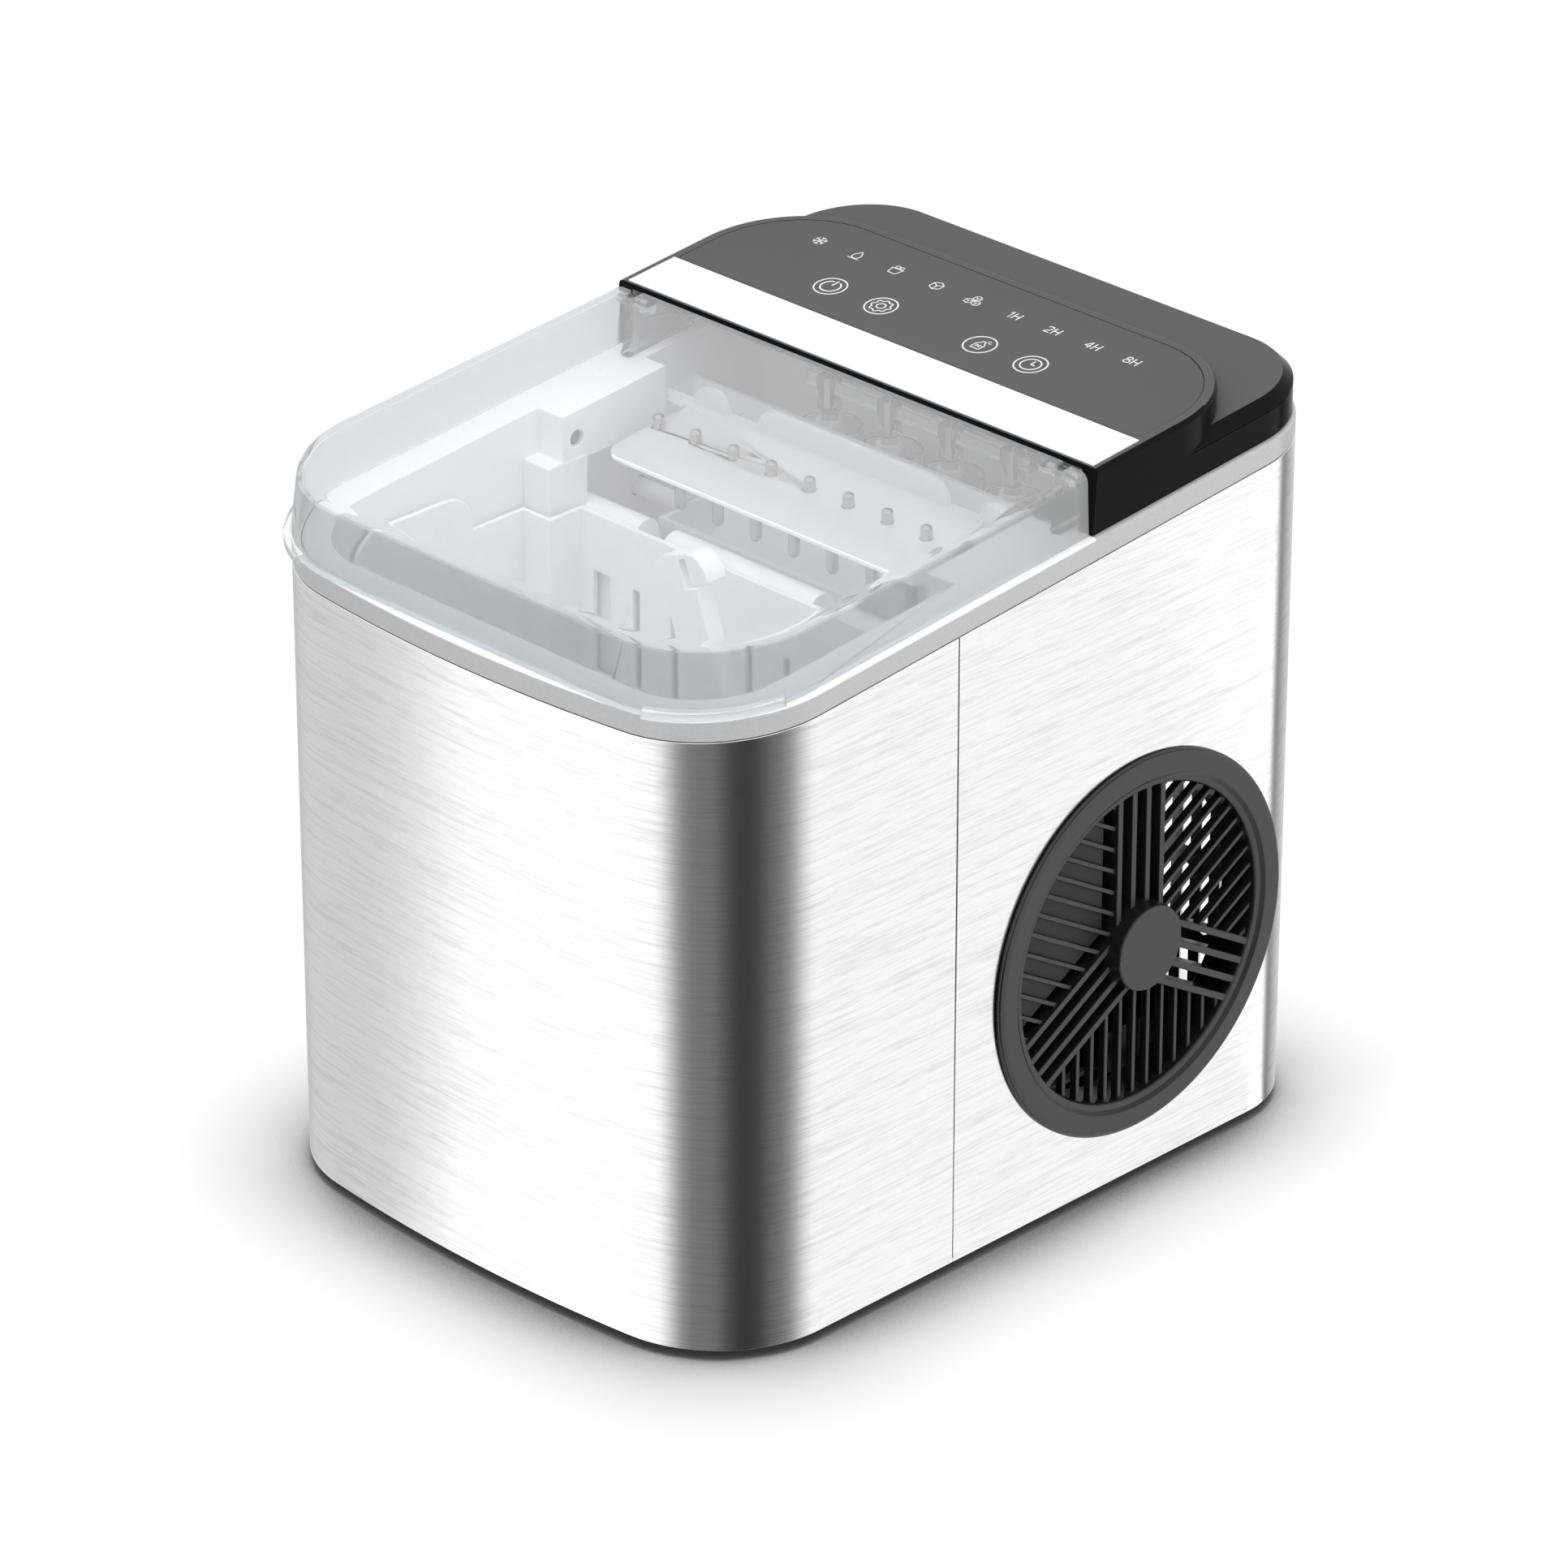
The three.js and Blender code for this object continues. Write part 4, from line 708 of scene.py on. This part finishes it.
def lidRing(s, inset, height, back):  # height(y) gives z on the leaned outline
    r = s["cornerR"] - inset
    corners = roundedBox(-s["half"] + inset, s["half"] - inset, s["front"] + inset, back, [r, 0, 0, r], 20)
    plan = []
    for i, p in enumerate(corners):  # long sides get points along them
        q = corners[(i + 1) % len(corners)]
        parts = 16 if dist(p, q) > 20 else 1
        plan += [(p[0] + (q[0] - p[0]) * k / parts, p[1] + (q[1] - p[1]) * k / parts) for k in range(parts)]
    ring = []
    for x, y in plan:
        z = height(y)
        for _ in range(4):
            z = height(leaned(s, x, y, z)[1])
        ring.append(leaned(s, x, y, z))
    return ring


def lidBody(name, s, inset, drop, back, reach=0.0):
    top = s["top"] - drop
    r = s["round"] - inset * 0.9

    def lower(y):
        return s["rest"] - reach + slope * y

    def upper(y):
        return top + s["slope"] * y
    rings = [lidRing(s, inset, lambda y, k=k: lower(y) + (upper(y) - r - lower(y)) * k / 3, back)
             for k in range(3)]
    for a in quarter(7):
        rings.append(lidRing(s, inset + r - r * cos(a), lambda y, h=r - r * sin(a): upper(y) - h, back))
    return loft(name, rings, "lid")


def fingerLip(s, side):
    cx, cy = side * (s["half"] - s["cornerR"]), s["front"] + s["cornerR"]
    a0 = -pi * 0.4 if side > 0 else -pi * 0.93
    a1 = a0 + pi * 0.33
    plan = arc(cx, cy, s["cornerR"] + s["lipOut"], a0, a1, 18)
    plan += arc(cx, cy, s["cornerR"] - s["lipIn"], a1, a0, 18)
    return loft("fingerLip", [planeRing(plan, z) for z in (s["rest"], s["rest"] + s["lipRise"])], "lid")


def makeLid(s):
    h = hingeShape
    lid = lidBody("lidClearShell", s, 0.0, 0.0, s["backMid"])
    carve(lid, lidBody("lidHollow", s, s["wall"], s["wall"], s["back"] + 14, 12))
    for side in (-1, 1):
        inner = sorted((side * (h["armIn"] - 7), side * (h["armIn"] - h["gap"])))
        outer = sorted((side * (h["armOut"] + h["gap"]), side * (s["half"] - s["wall"] - 0.5)))
        bore = sorted((side * (h["armIn"] - 5), side * (h["armOut"] + 4.8)))
        gapX = sorted((side * (h["armIn"] - h["gap"]), side * (h["armOut"] + h["gap"])))
        joined(lid, rodX("knuckleIn", h["knuckleR"], *inner, h["y"], h["z"], 32, "lid"),
               rodX("knuckleOut", h["knuckleR"], *outer, h["y"], h["z"], 32, "lid"), fingerLip(s, side))
        carve(lid, rodX("pinHole", h["pinR"] + h["gap"], *bore, h["y"], h["z"], 24, "lid"),
              block("armNotch", *gapX, h["y"] - h["notch"], 46, 200, 300, "lid"))
    wide = [(-200, -200), (200, -200), (200, 200), (-200, 200)]
    cap = loft("lidTopCut", [planeRing(wide, s["top"], s["slope"]), planeRing(wide, 320, 0)], "lid")
    carve(lid, cap, block("lidBackCut", -200, 200, s["backMid"], 80, 150, 350, "lid"),
          block("lidSideCut", -200, -s["midHalf"], s["back"], 80, 150, 350, "lid"),
          block("lidSideCut", s["midHalf"], 200, s["back"], 80, 150, 350, "lid"))
    smoothed(lid, 0.3, 50, 2)
    # painted shade: the lid's upright walls take the darker copy of its clear finish
    paintWhere(lid, "lidWall", lambda face: abs(face.normal.z) < 0.35)
    stands(lid, "lid", "lid")


makeLid(lidShape)
print("lid made")

# console, overlay, strip and printed marks
consoleShape = {"half": 110.2, "front": 31.6, "lean": 2.0, "back": 114.5, "rearR": 40.0, "wall": 2.5,
                "base": 242.4, "top": 265.0, "round": 1.8, "startY": 28.0, "windowSide": 6.7,
                "windowLip": 1.7, "pocket": 1.2, "stripFrom": 2.7, "stripTo": 56.7, "stripSide": 2.8,
                "filmSide": 4.5, "filmFront": 57.2, "filmBack": 4.0, "filmGap": 0.12, "litBack": 66.0}
deckShape = {"half": 110.18, "back": 148.2, "cornerR": 34.0, "chamfer": 3.5, "start": 42.0, "top": 256.2,
             "grooveDrop": 0.5, "groove": 0.3}


def panelPlan(c, d, front=None):
    return roundedBox(-c["half"] + d, c["half"] - d, (c["front"] if front is None else front) + d,
                      c["back"] - d, [1.5, c["rearR"] - d, c["rearR"] - d, 1.5], 24)


def deckPlan(k, d):
    return roundedBox(-k["half"] + d, k["half"] - d, k["start"], k["back"] - d,
                      [0, k["cornerR"] - d, k["cornerR"] - d, 0], 24)


def overlayPlan(c, d):
    return roundedBox(-c["half"] + c["filmSide"] + d, c["half"] - c["filmSide"] - d, c["filmFront"] + d,
                      c["back"] - c["filmBack"] - d, [1, c["rearR"] - 4, c["rearR"] - 4, 1], 20)


def makeConsole(c, k):
    low = c["base"]
    r = c["round"]
    rings = [planeRing(panelPlan(c, 0, c["startY"]), low),
             planeRing(panelPlan(c, 0, c["startY"]), c["top"] - r)]
    rings += [planeRing(panelPlan(c, r - r * cos(a), c["startY"]), c["top"] - r + r * sin(a))
              for a in quarter(6, 1)]
    raised = loft("consoleShell", rings)
    g = k["groove"]
    z1 = k["top"] - k["chamfer"] - k["grooveDrop"]
    levels = [(0, low), (0, z1 - g), (g, z1 - g * 0.5), (g, z1), (0, z1 + g * 0.5),
              (0, k["top"] - k["chamfer"]), (k["chamfer"], k["top"])]
    deck = loft("consoleDeck", [planeRing(deckPlan(k, d), z) for d, z in levels])
    inside = c["wall"] + 1
    hollows = (("deckHollow", deckPlan(k, inside), k["top"] - inside),
               ("panelHollow", panelPlan(c, inside), c["top"] - c["wall"] - 1.6))
    for shell in (raised, deck):
        carve(shell, *[loft(name, [planeRing(plan, z) for z in (200, high)]) for name, plan, high in hollows])
    topZ = c["top"] + slope * c["front"]
    faceCut = [(c["front"] - 60, low - 90), (c["front"] - 1, low - 90),
               (c["front"] - 1, low + slope * c["front"] - 10), (c["front"] + c["lean"], topZ + 1),
               (c["front"] + c["lean"], low + 80), (c["front"] - 60, low + 80)]
    pocketZ = (c["top"] - c["pocket"], c["top"] + 20)
    x, y0, y1 = c["half"] - c["stripSide"], c["front"] + c["stripFrom"], c["stripTo"]
    stripPlan = [(-x, y0), (x, y0), (x, y1), (-x, y1)]
    carve(raised, alongX("faceCut", faceCut, -200, 200),
          block("hingeWindow", -c["half"] + c["windowSide"], c["half"] - c["windowSide"], c["front"] - 8,
                c["front"] + c["wall"] + 6, 200, topZ - c["windowLip"]),
          loft("overlayPocket", [planeRing(overlayPlan(c, -c["filmGap"]), z) for z in pocketZ]),
          loft("stripPocket", [planeRing(stripPlan, z) for z in pocketZ]))
    joined(raised, deck)
    smoothed(raised, 0, flat=0)
    paintWhere(raised, "deck", lambda face: face.normal.z > 0.93 and face.center.z > 0.24)
    side, near = (c["half"] - c["wall"] - 0.5) * mm, (c["front"] + c["wall"] + 0.4 + offset[1]) * mm

    def lit(face):  # the walls of the hollow that are seen through the window
        x, y, z = face.center
        return (abs(x - offset[0] * mm) < side and near < y < c["litBack"] * mm and face.normal.z < 0.3
                and z < (c["top"] - 3.0 + slope * y / mm) * mm)
    paintWhere(raised, "liner", lit)
    stands(raised, "black", "console_body")


makeConsole(consoleShape, deckShape)
softCopy("overlayPanel", "control_overlay", "overlay", 0.15, 35, 1)
softCopy("frontStrip", "panel_strip", "strip", 0.15, 35, 1)

printSettings = {"rise": 0.06, "sink": 0.05, "line": 0.55, "rowY": 95.0, "keyY": 73.0, "ringR": 6.0,
                 "letter": 4.0, "letterPitch": 0.82, "keyX": (-49.2, -25.5, 20.1, 43.1),
                 "lightX": (-76.0, -58.0, -40.0, -21.0, -3.4),
                 "hours": (("1H", 14.7), ("2H", 32.7), ("4H", 50.8), ("8H", 68.2))}


def printed(name, polygons):  # flat closed outlines (or rings as pairs) laid on the overlay
    p = printSettings
    points, faces = [], []
    for outer, inner in polygons:
        n = len(outer)
        base = len(points)
        if inner is None:
            for z in (-p["sink"], p["rise"]):
                points += [(x, y, consoleShape["top"] + slope * y + z) for x, y in outer]
            faces += [tuple(base + i for i in reversed(range(n))), tuple(base + n + i for i in range(n))]
            faces += [(base + i, base + (i + 1) % n, base + n + (i + 1) % n, base + n + i) for i in range(n)]
        else:
            for z in (-p["sink"], p["rise"]):
                for ring in (outer, inner):
                    points += [(x, y, consoleShape["top"] + slope * y + z) for x, y in ring]
            for a, b in ((0, n), (n, 3 * n), (3 * n, 2 * n), (2 * n, 0)):
                faces += [(base + a + i, base + a + (i + 1) % n, base + b + (i + 1) % n, base + b + i)
                          for i in range(n)]
    return shape(name, points, faces, "print")


def ring(x, y, r, w, n=40, a0=0.0, a1=2 * pi):
    if a1 - a0 > 6.28:
        return (arc(x, y, r, a0, a1, n)[:-1], arc(x, y, r - w, a0, a1, n)[:-1])
    return (arc(x, y, r, a0, a1, n) + arc(x, y, r - w, a1, a0, n), None)


def stroke(x0, y0, x1, y1, w):
    d = hypot(x1 - x0, y1 - y0)
    nx, ny = -(y1 - y0) / d * w / 2, (x1 - x0) / d * w / 2
    return ([(x0 - nx, y0 - ny), (x1 - nx, y1 - ny), (x1 + nx, y1 + ny), (x0 + nx, y0 + ny)], None)


def openLine(points, w):
    return [stroke(*a, *b, w) for a, b in zip(points, points[1:])]


def closedLine(points, w):
    return openLine([*points, points[0]], w)


def cubeMark(x, y, r, w):
    hexagon = [(x + r * cos(pi / 6 + pi / 3 * i), y + r * sin(pi / 6 + pi / 3 * i)) for i in range(6)]
    return closedLine(hexagon, w) + [stroke(x, y, *hexagon[i], w) for i in (0, 2, 4)]


def letters(text, x, y, height, w):  # numbers and H as strokes
    forms = {
        "1": [[(0.25, 0.78), (0.5, 1), (0.5, 0)]],
        "2": [[(0.05, 0.8), (0.2, 0.97), (0.5, 0.97), (0.62, 0.75), (0.5, 0.5), (0.02, 0.02), (0.65, 0.02)]],
        "4": [[(0.45, 0), (0.45, 1), (0, 0.3), (0.65, 0.3)]],
        "8": [[(0.32, 0.53), (0.08, 0.66), (0.08, 0.88), (0.32, 1), (0.56, 0.88), (0.56, 0.66), (0.32, 0.53),
               (0.04, 0.38), (0.04, 0.12), (0.32, 0), (0.6, 0.12), (0.6, 0.38), (0.32, 0.53)]],
        "H": [[(0.05, 0), (0.05, 1)], [(0.62, 0), (0.62, 1)], [(0.05, 0.5), (0.62, 0.5)]],
    }
    out = []
    for i, sign in enumerate(text):
        left = x + (i - len(text) / 2) * height * printSettings["letterPitch"]
        for line in forms[sign]:
            out += openLine([(left + a * height, y + (b - 0.5) * height) for a, b in line], w)
    return out


def keyMarks(p):  # power, gear, bottle and clock, each in its ring
    w, y = p["line"], p["keyY"]
    marks = [ring(x, y, p["ringR"], w) for x in p["keyX"]]
    x = p["keyX"][0]
    marks += [ring(x, y, 3.9, w * 1.1, 30, pi * 0.62, pi * 2.38), stroke(x, y + 0.6, x, y + 4.2, w * 1.1)]
    x = p["keyX"][1]
    gear = []
    for i in range(32):
        r = 4.0 if i % 4 in (0, 1) else 3.3
        gear.append((x + r * cos(2 * pi * i / 32), y + r * sin(2 * pi * i / 32)))
    marks += closedLine(gear, w * 0.9) + [ring(x, y, 1.9, w * 0.9, 24)]
    x = p["keyX"][2]
    bottle = [(-1.9, -2.8), (1.9, -2.8), (1.9, 0.3), (0.7, 1.5), (0.7, 2.4), (-0.7, 2.4), (-0.7, 1.5),
              (-1.9, 0.3)]
    marks += closedLine([(x + a, y + b) for a, b in bottle], w * 0.75)
    marks += openLine([(x - 1.0, y - 1.6), (x, y - 1.0), (x + 1.0, y - 1.6)], w * 0.7)
    marks += [stroke(x - 1.3, y - 0.5, x + 1.3, y - 0.5, w * 0.7),
              stroke(x + 0.9, y + 3.1, x + 2.1, y + 3.6, w * 0.7),
              stroke(x + 1.6, y + 2.2, x + 2.9, y + 2.3, w * 0.7)]
    x = p["keyX"][3]
    marks += [ring(x, y, 3.9, w, 32)] + openLine([(x, y + 2.4), (x, y), (x + 1.7, y)], w)
    return marks


def lightMarks(p):  # snowflake, low water, full basket, large ice and small ice
    w, y = p["line"], p["rowY"]
    marks = []
    x = p["lightX"][0]
    for i in range(3):
        a = pi / 3 * i + pi / 6
        marks.append(stroke(x - 2.6 * cos(a), y - 2.6 * sin(a), x + 2.6 * cos(a), y + 2.6 * sin(a), w * 0.7))
    for i in range(6):
        a = pi / 3 * i + pi / 6
        cx, cy = x + 1.6 * cos(a), y + 1.6 * sin(a)
        for turn in (-0.8, 0.8):
            marks.append(stroke(cx, cy, cx + 1.1 * cos(a + turn), cy + 1.1 * sin(a + turn), w * 0.6))
    x = p["lightX"][1]
    drop = [(x, y + 2.6)] + arc(x, y - 0.6, 1.7, radians(30), radians(-210), 10)
    marks += closedLine(drop, w * 0.7) + [stroke(x - 2.4, y - 2.6, x + 2.4, y - 2.6, w * 0.7)]
    x = p["lightX"][2]
    marks += openLine([(x - 2.4, y + 0.8), (x - 1.7, y - 2.4), (x + 1.7, y - 2.4), (x + 2.4, y + 0.8)],
                      w * 0.7)
    marks += [stroke(x - 2.7, y + 0.9, x + 2.7, y + 0.9, w * 0.7)]
    marks += closedLine([(x - 1.7, y + 1.4), (x - 0.2, y + 1.4), (x - 0.2, y + 2.7), (x - 1.7, y + 2.7)],
                        w * 0.5)
    marks += closedLine([(x + 0.3, y + 1.4), (x + 1.7, y + 1.4), (x + 1.7, y + 2.6), (x + 0.3, y + 2.6)],
                        w * 0.5)
    marks += cubeMark(p["lightX"][3], y, 2.6, w * 0.7)
    for dx, dy in ((0, 1.5), (-1.7, -1.3), (1.7, -1.3)):
        marks += cubeMark(p["lightX"][4] + dx, y + dy, 1.65, w * 0.55)
    return marks


def makeMarks(p):
    marks = keyMarks(p) + lightMarks(p)
    for text, x in p["hours"]:
        marks += letters(text, x, p["rowY"], p["letter"], p["line"] * 0.85)
    obj = printed("panelMarks", marks)
    stands(obj, "print", body="housing")


makeMarks(printSettings)
print("console made")

# side grille
grilleShape = {"outerR": 68.5, "openR": 56.5, "hubR": 15.2, "collar": 98.0, "shell": 112.3, "face": 114.6,
               "hubFace": 118.0, "ribBack": 103.4, "ribFront": 112.6, "armPitch": 6.8, "armRib": 2.4,
               "barPitch": 6.8, "barThick": 1.6, "barDeep": 3.0, "barSetBack": 1.4, "closedThick": 1.6,
               "closedGap": 4.0, "bite": 1.1, "edge": 0.18, "faceDeep": 1.4, "plateLow": 2.4,
               "plateHigh": 1.0}


def turnedYZ(a, b, turn):  # a place beside the fan axis, turned about it
    c, s = cos(turn), sin(turn)
    return fanPlace["y"] + a * c - b * s, fanPlace["z"] + a * s + b * c


def slat(name, u, v0, v1, thick, turn, x0, x1):  # one upright bar of the grille, turned about the fan axis
    def at(x, a, b):
        return (x, *turnedYZ(a, b, turn))
    lo, hi = u - thick / 2, u + thick / 2
    return loft(name, [[at(x0, lo, v0), at(x0, hi, v0), at(x0, hi, v1), at(x0, lo, v1)],
                       [at(x1, lo, v0), at(x1, hi, v0), at(x1, hi, v1), at(x1, lo, v1)]], "grille")


def sectorBlock(name, g, clear, turn, x0, x1):
    start = (1.5 * g["armPitch"] + g["armRib"] / 2 + clear) / sin(pi / 3)
    flat = [(0, start), (90, start + 90 * tan(pi / 6)), (90, 200), (-90, 200),
            (-90, start + 90 * tan(pi / 6))]
    ring = [turnedYZ(a, b, turn) for a, b in flat]
    return alongX(name, ring, x0, x1, "grille")


def makeGrille(g):
    y, z, r = fanPlace["y"], fanPlace["z"], g["openR"]
    face = g["face"]
    profile = [(g["collar"], r), (g["collar"], r + 2.5), (g["shell"], r + 2.5), (g["shell"], g["outerR"]),
               (g["shell"] + 0.7, g["outerR"]), (g["shell"] + 1.0, g["outerR"] - 0.5),
               (g["shell"] + 1.5, g["outerR"] - 0.8), (face - 0.3, g["outerR"] - 1.7),
               (face, g["outerR"] - 2.3), (face, r + 4.4), (face - 0.15, r + 3.8), (face - 0.6, r + 3.2),
               (face - 1.2, r + 2.4), (face - 1.3, r + 1.5), (face - 1.6, r + 0.6), (face - 2.4, r)]
    ring = turnedX("grilleRing", profile, y, z, 128, "grille")
    front = g["ribFront"] - g["barSetBack"]
    fields = []
    for arm in range(3):
        turn = arm * pi * 2 / 3
        c, s = cos(turn), sin(turn)
        rib = slat("armRib", 0, 8, r + 1, g["armRib"], turn, g["ribBack"], g["ribFront"])
        p = g["armPitch"]
        fields.append(grid("armRibs", rib, "grille", (0, -1.5 * p * c, -1.5 * p * s), 4, (0, p * c, p * s)))
        turn += pi / 3
        c, s = cos(turn), sin(turn)
        bar = slat("sectorBar", 0, 0, r + 1, g["barThick"], turn, front - g["barDeep"], front)
        p = g["barPitch"]
        bars = grid("sectorBars", bar, "grille", (0, -8 * p * c, -8 * p * s), 17, (0, p * c, p * s))
        fields.append(carve(bars, sectorBlock("barLimit", g, -g["bite"], turn, 90, 130), kind="INTERSECT"))
        if arm == 0:
            fields.append(sectorBlock("closedSector", g, g["closedGap"], turn, front - g["barDeep"],
                                      front - g["barDeep"] + g["closedThick"]))
    bars = joined(*fields)
    carve(bars, rodX("grilleReach", r + 1, 90, 130, y, z, 96, "grille"), kind="INTERSECT")
    hub = turnedX("grilleHub", [(g["ribBack"], 0.02), (g["ribBack"], g["hubR"]),
                                (g["hubFace"] - 0.8, g["hubR"]), (g["hubFace"] - 0.25, g["hubR"] - 0.25),
                                (g["hubFace"], g["hubR"] - 0.8), (g["hubFace"], 0.02)], y, z, 72, "grille")
    joined(bars, rodX("hubCore", 1, g["ribBack"], g["hubFace"], y, z, 24, "grille"), hub, ring)
    smoothed(bars, g["edge"], 40, 1)
    # painted reflection: the grille's outward front faces are grey, as black plastic mirroring the floor
    limit = (front - g["faceDeep"]) * mm + offset[0] * mm
    paintWhere(bars, "grilleFace", lambda f: f.normal.x > 0.8 and f.center.x > limit)
    # painted reflection: the set-back plate's outward face gets a dimmer grey
    low, high = front - g["plateLow"], front - g["plateHigh"]
    paintWhere(bars, "grillePlate", lambda f: f.normal.x > 0.8
               and low * mm < f.center.x - offset[0] * mm < high * mm)
    bars.name = "sideGrilleBlack"
    stands(bars, "grille", "side_grille")


makeGrille(grilleShape)
print("side grille made")


def copies(rows):  # the solids' own shapes with small rounds on their edges
    for name, node, finish, width, segments in rows:
        softCopy(name, node, finish, width, 40, segments)


# inside: tub, cover, tubes, manifold, basket, scoop, shovel, tray
softCopy("tubWhite", "inner_tub", "liner", 0.5, 40, 2, flat=0)
softCopy("basketWhite", "ice_basket", "liner", 0.4, 40, 2, flat=0)
copies((("scoopWhite", "ice_scoop", "liner", 0.45, 2), ("shovelWhite", "ice_shovel", "liner", 0.4, 2),
        ("trayWhite", "water_tray", "liner", 0.4, 2), ("railLeft", "shovel_rail_left", "liner", 0.3, 1),
        ("railRight", "shovel_rail_right", "liner", 0.3, 1)))

tubeShape = {"pitch": 17.8, "fingerR": 2.0, "pipeR": 2.8, "pipeZ": 223.0, "frontY": 6.6, "rearY": 13.9,
             "frontLow": 209.0, "rearLow": 219.0, "rearTop": 236.0, "pipeEnd": 99.6, "endHalf": 2.6}


def fingerTube(name, x, y, low, high, r, closedTop):
    profile = [(0.02, low)] + [(r * sin(a), low + r - r * cos(a)) for a in quarter(5, 1)]
    if closedTop:
        profile += [(r * cos(a), high - r * 0.6 + r * 0.6 * sin(a))
                    for a in quarter(5, 0, 5)] + [(0.02, high)]
    else:
        profile += [(r, high), (0.02, high)]
    return turnedZ(name, profile, x, y, 24, "nickel")


def makeTubes(t):
    reach = 4 * t["pitch"] + 6
    front = fingerTube("frontFinger", -3 * t["pitch"], t["frontY"], t["frontLow"], t["pipeZ"], t["fingerR"],
                       False)
    rear = fingerTube("rearFinger", -4 * t["pitch"], t["rearY"], t["rearLow"], t["rearTop"], t["fingerR"],
                      True)
    frontRow = grid("frontFingers", front, "nickel", (0, 0, 0), 7, (t["pitch"], 0, 0))
    rearRow = grid("rearFingers", rear, "nickel", (0, 0, 0), 9, (t["pitch"], 0, 0))
    pipes = [rodX("coldPipe", t["pipeR"], -reach, t["pipeEnd"], y, t["pipeZ"], 32, "nickel")
             for y in (t["frontY"], t["rearY"])]
    e = t["endHalf"]
    end = block("pipeEnd", -reach - 3, -reach + 1, t["frontY"] - e, t["rearY"] + e, t["pipeZ"] - e,
                t["pipeZ"] + e, "nickel")
    obj = together("coldFingers", frontRow, rearRow, *pipes, end)
    stands(smoothed(obj, 0), "nickel", "evaporator")


makeTubes(tubeShape)
coverFront = -10.0
cover = softCopy("coverFrosted", "evaporator_cover", "frost", 0.35, 40, 2)
# the cover's front edge gets the opaque white finish, brighter than the frosted plate
paintWhere(cover, "strip",
           lambda face: face.normal.y < -0.3 and face.center.y < (coverFront + offset[1] + 1) * mm)

manifoldShape = {"y": 66.0, "pitch": 28.3, "cupR": 11.3, "cupTop": 225.0, "stemR": 2.8, "top": 243.0,
                 "floor": 212.3, "wall": 1.4, "base": 2.4, "post": 3.0, "postLow": 13.0, "pipe": 2.8,
                 "pipeOver": 10.0, "pipeLow": 5.2}


def makeManifold(m):
    first, y, top, post = -1.5 * m["pitch"], m["y"], m["top"], m["post"]
    across = {"columns": 4, "columnStep": (m["pitch"], 0, 0)}
    pipe = block("manifoldPipe", first - m["pipeOver"], -first + m["pipeOver"], y - m["pipe"], y + m["pipe"],
                 top - m["pipeLow"], top - 0.2, "clear")
    floor, inside = m["floor"], m["floor"] + m["base"]
    profile = [(0.02, floor), (m["cupR"] - 1.5, floor), (m["cupR"], floor + 2), (m["cupR"], m["cupTop"]),
               (m["cupR"] - m["wall"], m["cupTop"]), (m["cupR"] - m["wall"], inside), (m["stemR"], inside),
               (m["stemR"], top - 4), (0.02, top - 4)]
    cup = turnedZ("manifoldCup", profile, first, y, 40, "clear")
    cups = grid("manifoldCups", cup, "clear", (0, 0, 0), **across)
    ledge = block("manifoldPost", first - post, first + post, y - post, y + post, top - m["postLow"], top,
                  "clear")
    posts = grid("manifoldPosts", ledge, "clear", (0, 0, 0), **across)
    joined(pipe, posts, cups)
    pipe.name = "manifoldClear"
    stands(smoothed(pipe, 0.3, 40, 1), "clear", "water_manifold")


makeManifold(manifoldShape)
for index in range(1, 5):
    softCopy(f"sealRing{index}", f"seal_ring_{index}", "liner", 0.25, 40, 1)
for side in ("left", "right"):
    softCopy(f"hingeArm{side.title()}", f"hinge_arm_{side}", "smoke", 0.4, 40, 2)
    softCopy(f"hingePin{side.title()}", f"hinge_pin_{side}", "nickel", 0.15, 40, 1)
print("inside made")

# feet, pan, cap, gland, fan, cooling parts, boards
for end in ("front", "rear"):
    for side in ("left", "right"):
        softCopy(f"foot{end.title()}{side.title()}", f"foot_{end}_{side}", "rubber", 0.35, 40, 2)
copies((("cordGland", "cord_gland", "rubber", 0.35, 2), ("basePanBlack", "base_pan", "black", 0.4, 2),
        ("drainCapBlack", "drain_cap", "black", 0.3, 2), ("fanBlades", "fan_blade", "grille", 0.25, 1),
        ("fanShroudBlack", "fan_shroud", "grille", 0.3, 1), ("fanMotorGrey", "fan_motor", "motor", 0.4, 2),
        ("trayMotorGrey", "tray_motor", "motor", 0.4, 2),
        ("compressorBlack", "compressor", "enamel", 0.8, 3),
        ("compressorFoot", "compressor_bracket", "enamel", 0.3, 1),
        ("pumpBlack", "water_pump", "black", 0.4, 2), ("eyeSender", "ir_emitter", "black", 0.25, 1),
        ("eyeReceiver", "ir_receiver", "black", 0.25, 1),
        ("dischargeTube", "discharge_tube", "copper", 0, 2),
        ("suctionTube", "suction_tube", "copper", 0, 2), ("drierCopper", "drier", "copper", 0, 2),
        ("capillaryTube", "capillary_tube", "copper", 0, 2), ("hoseClear", "pump_hose", "clear", 0, 2),
        ("controlBoardGreen", "control_board", "board", 0.15, 1),
        ("powerBoardGreen", "power_board", "board", 0.2, 1),
        ("condenserFins", "condenser", "fin", 0.15, 1)))
print("outside and cooling parts made")
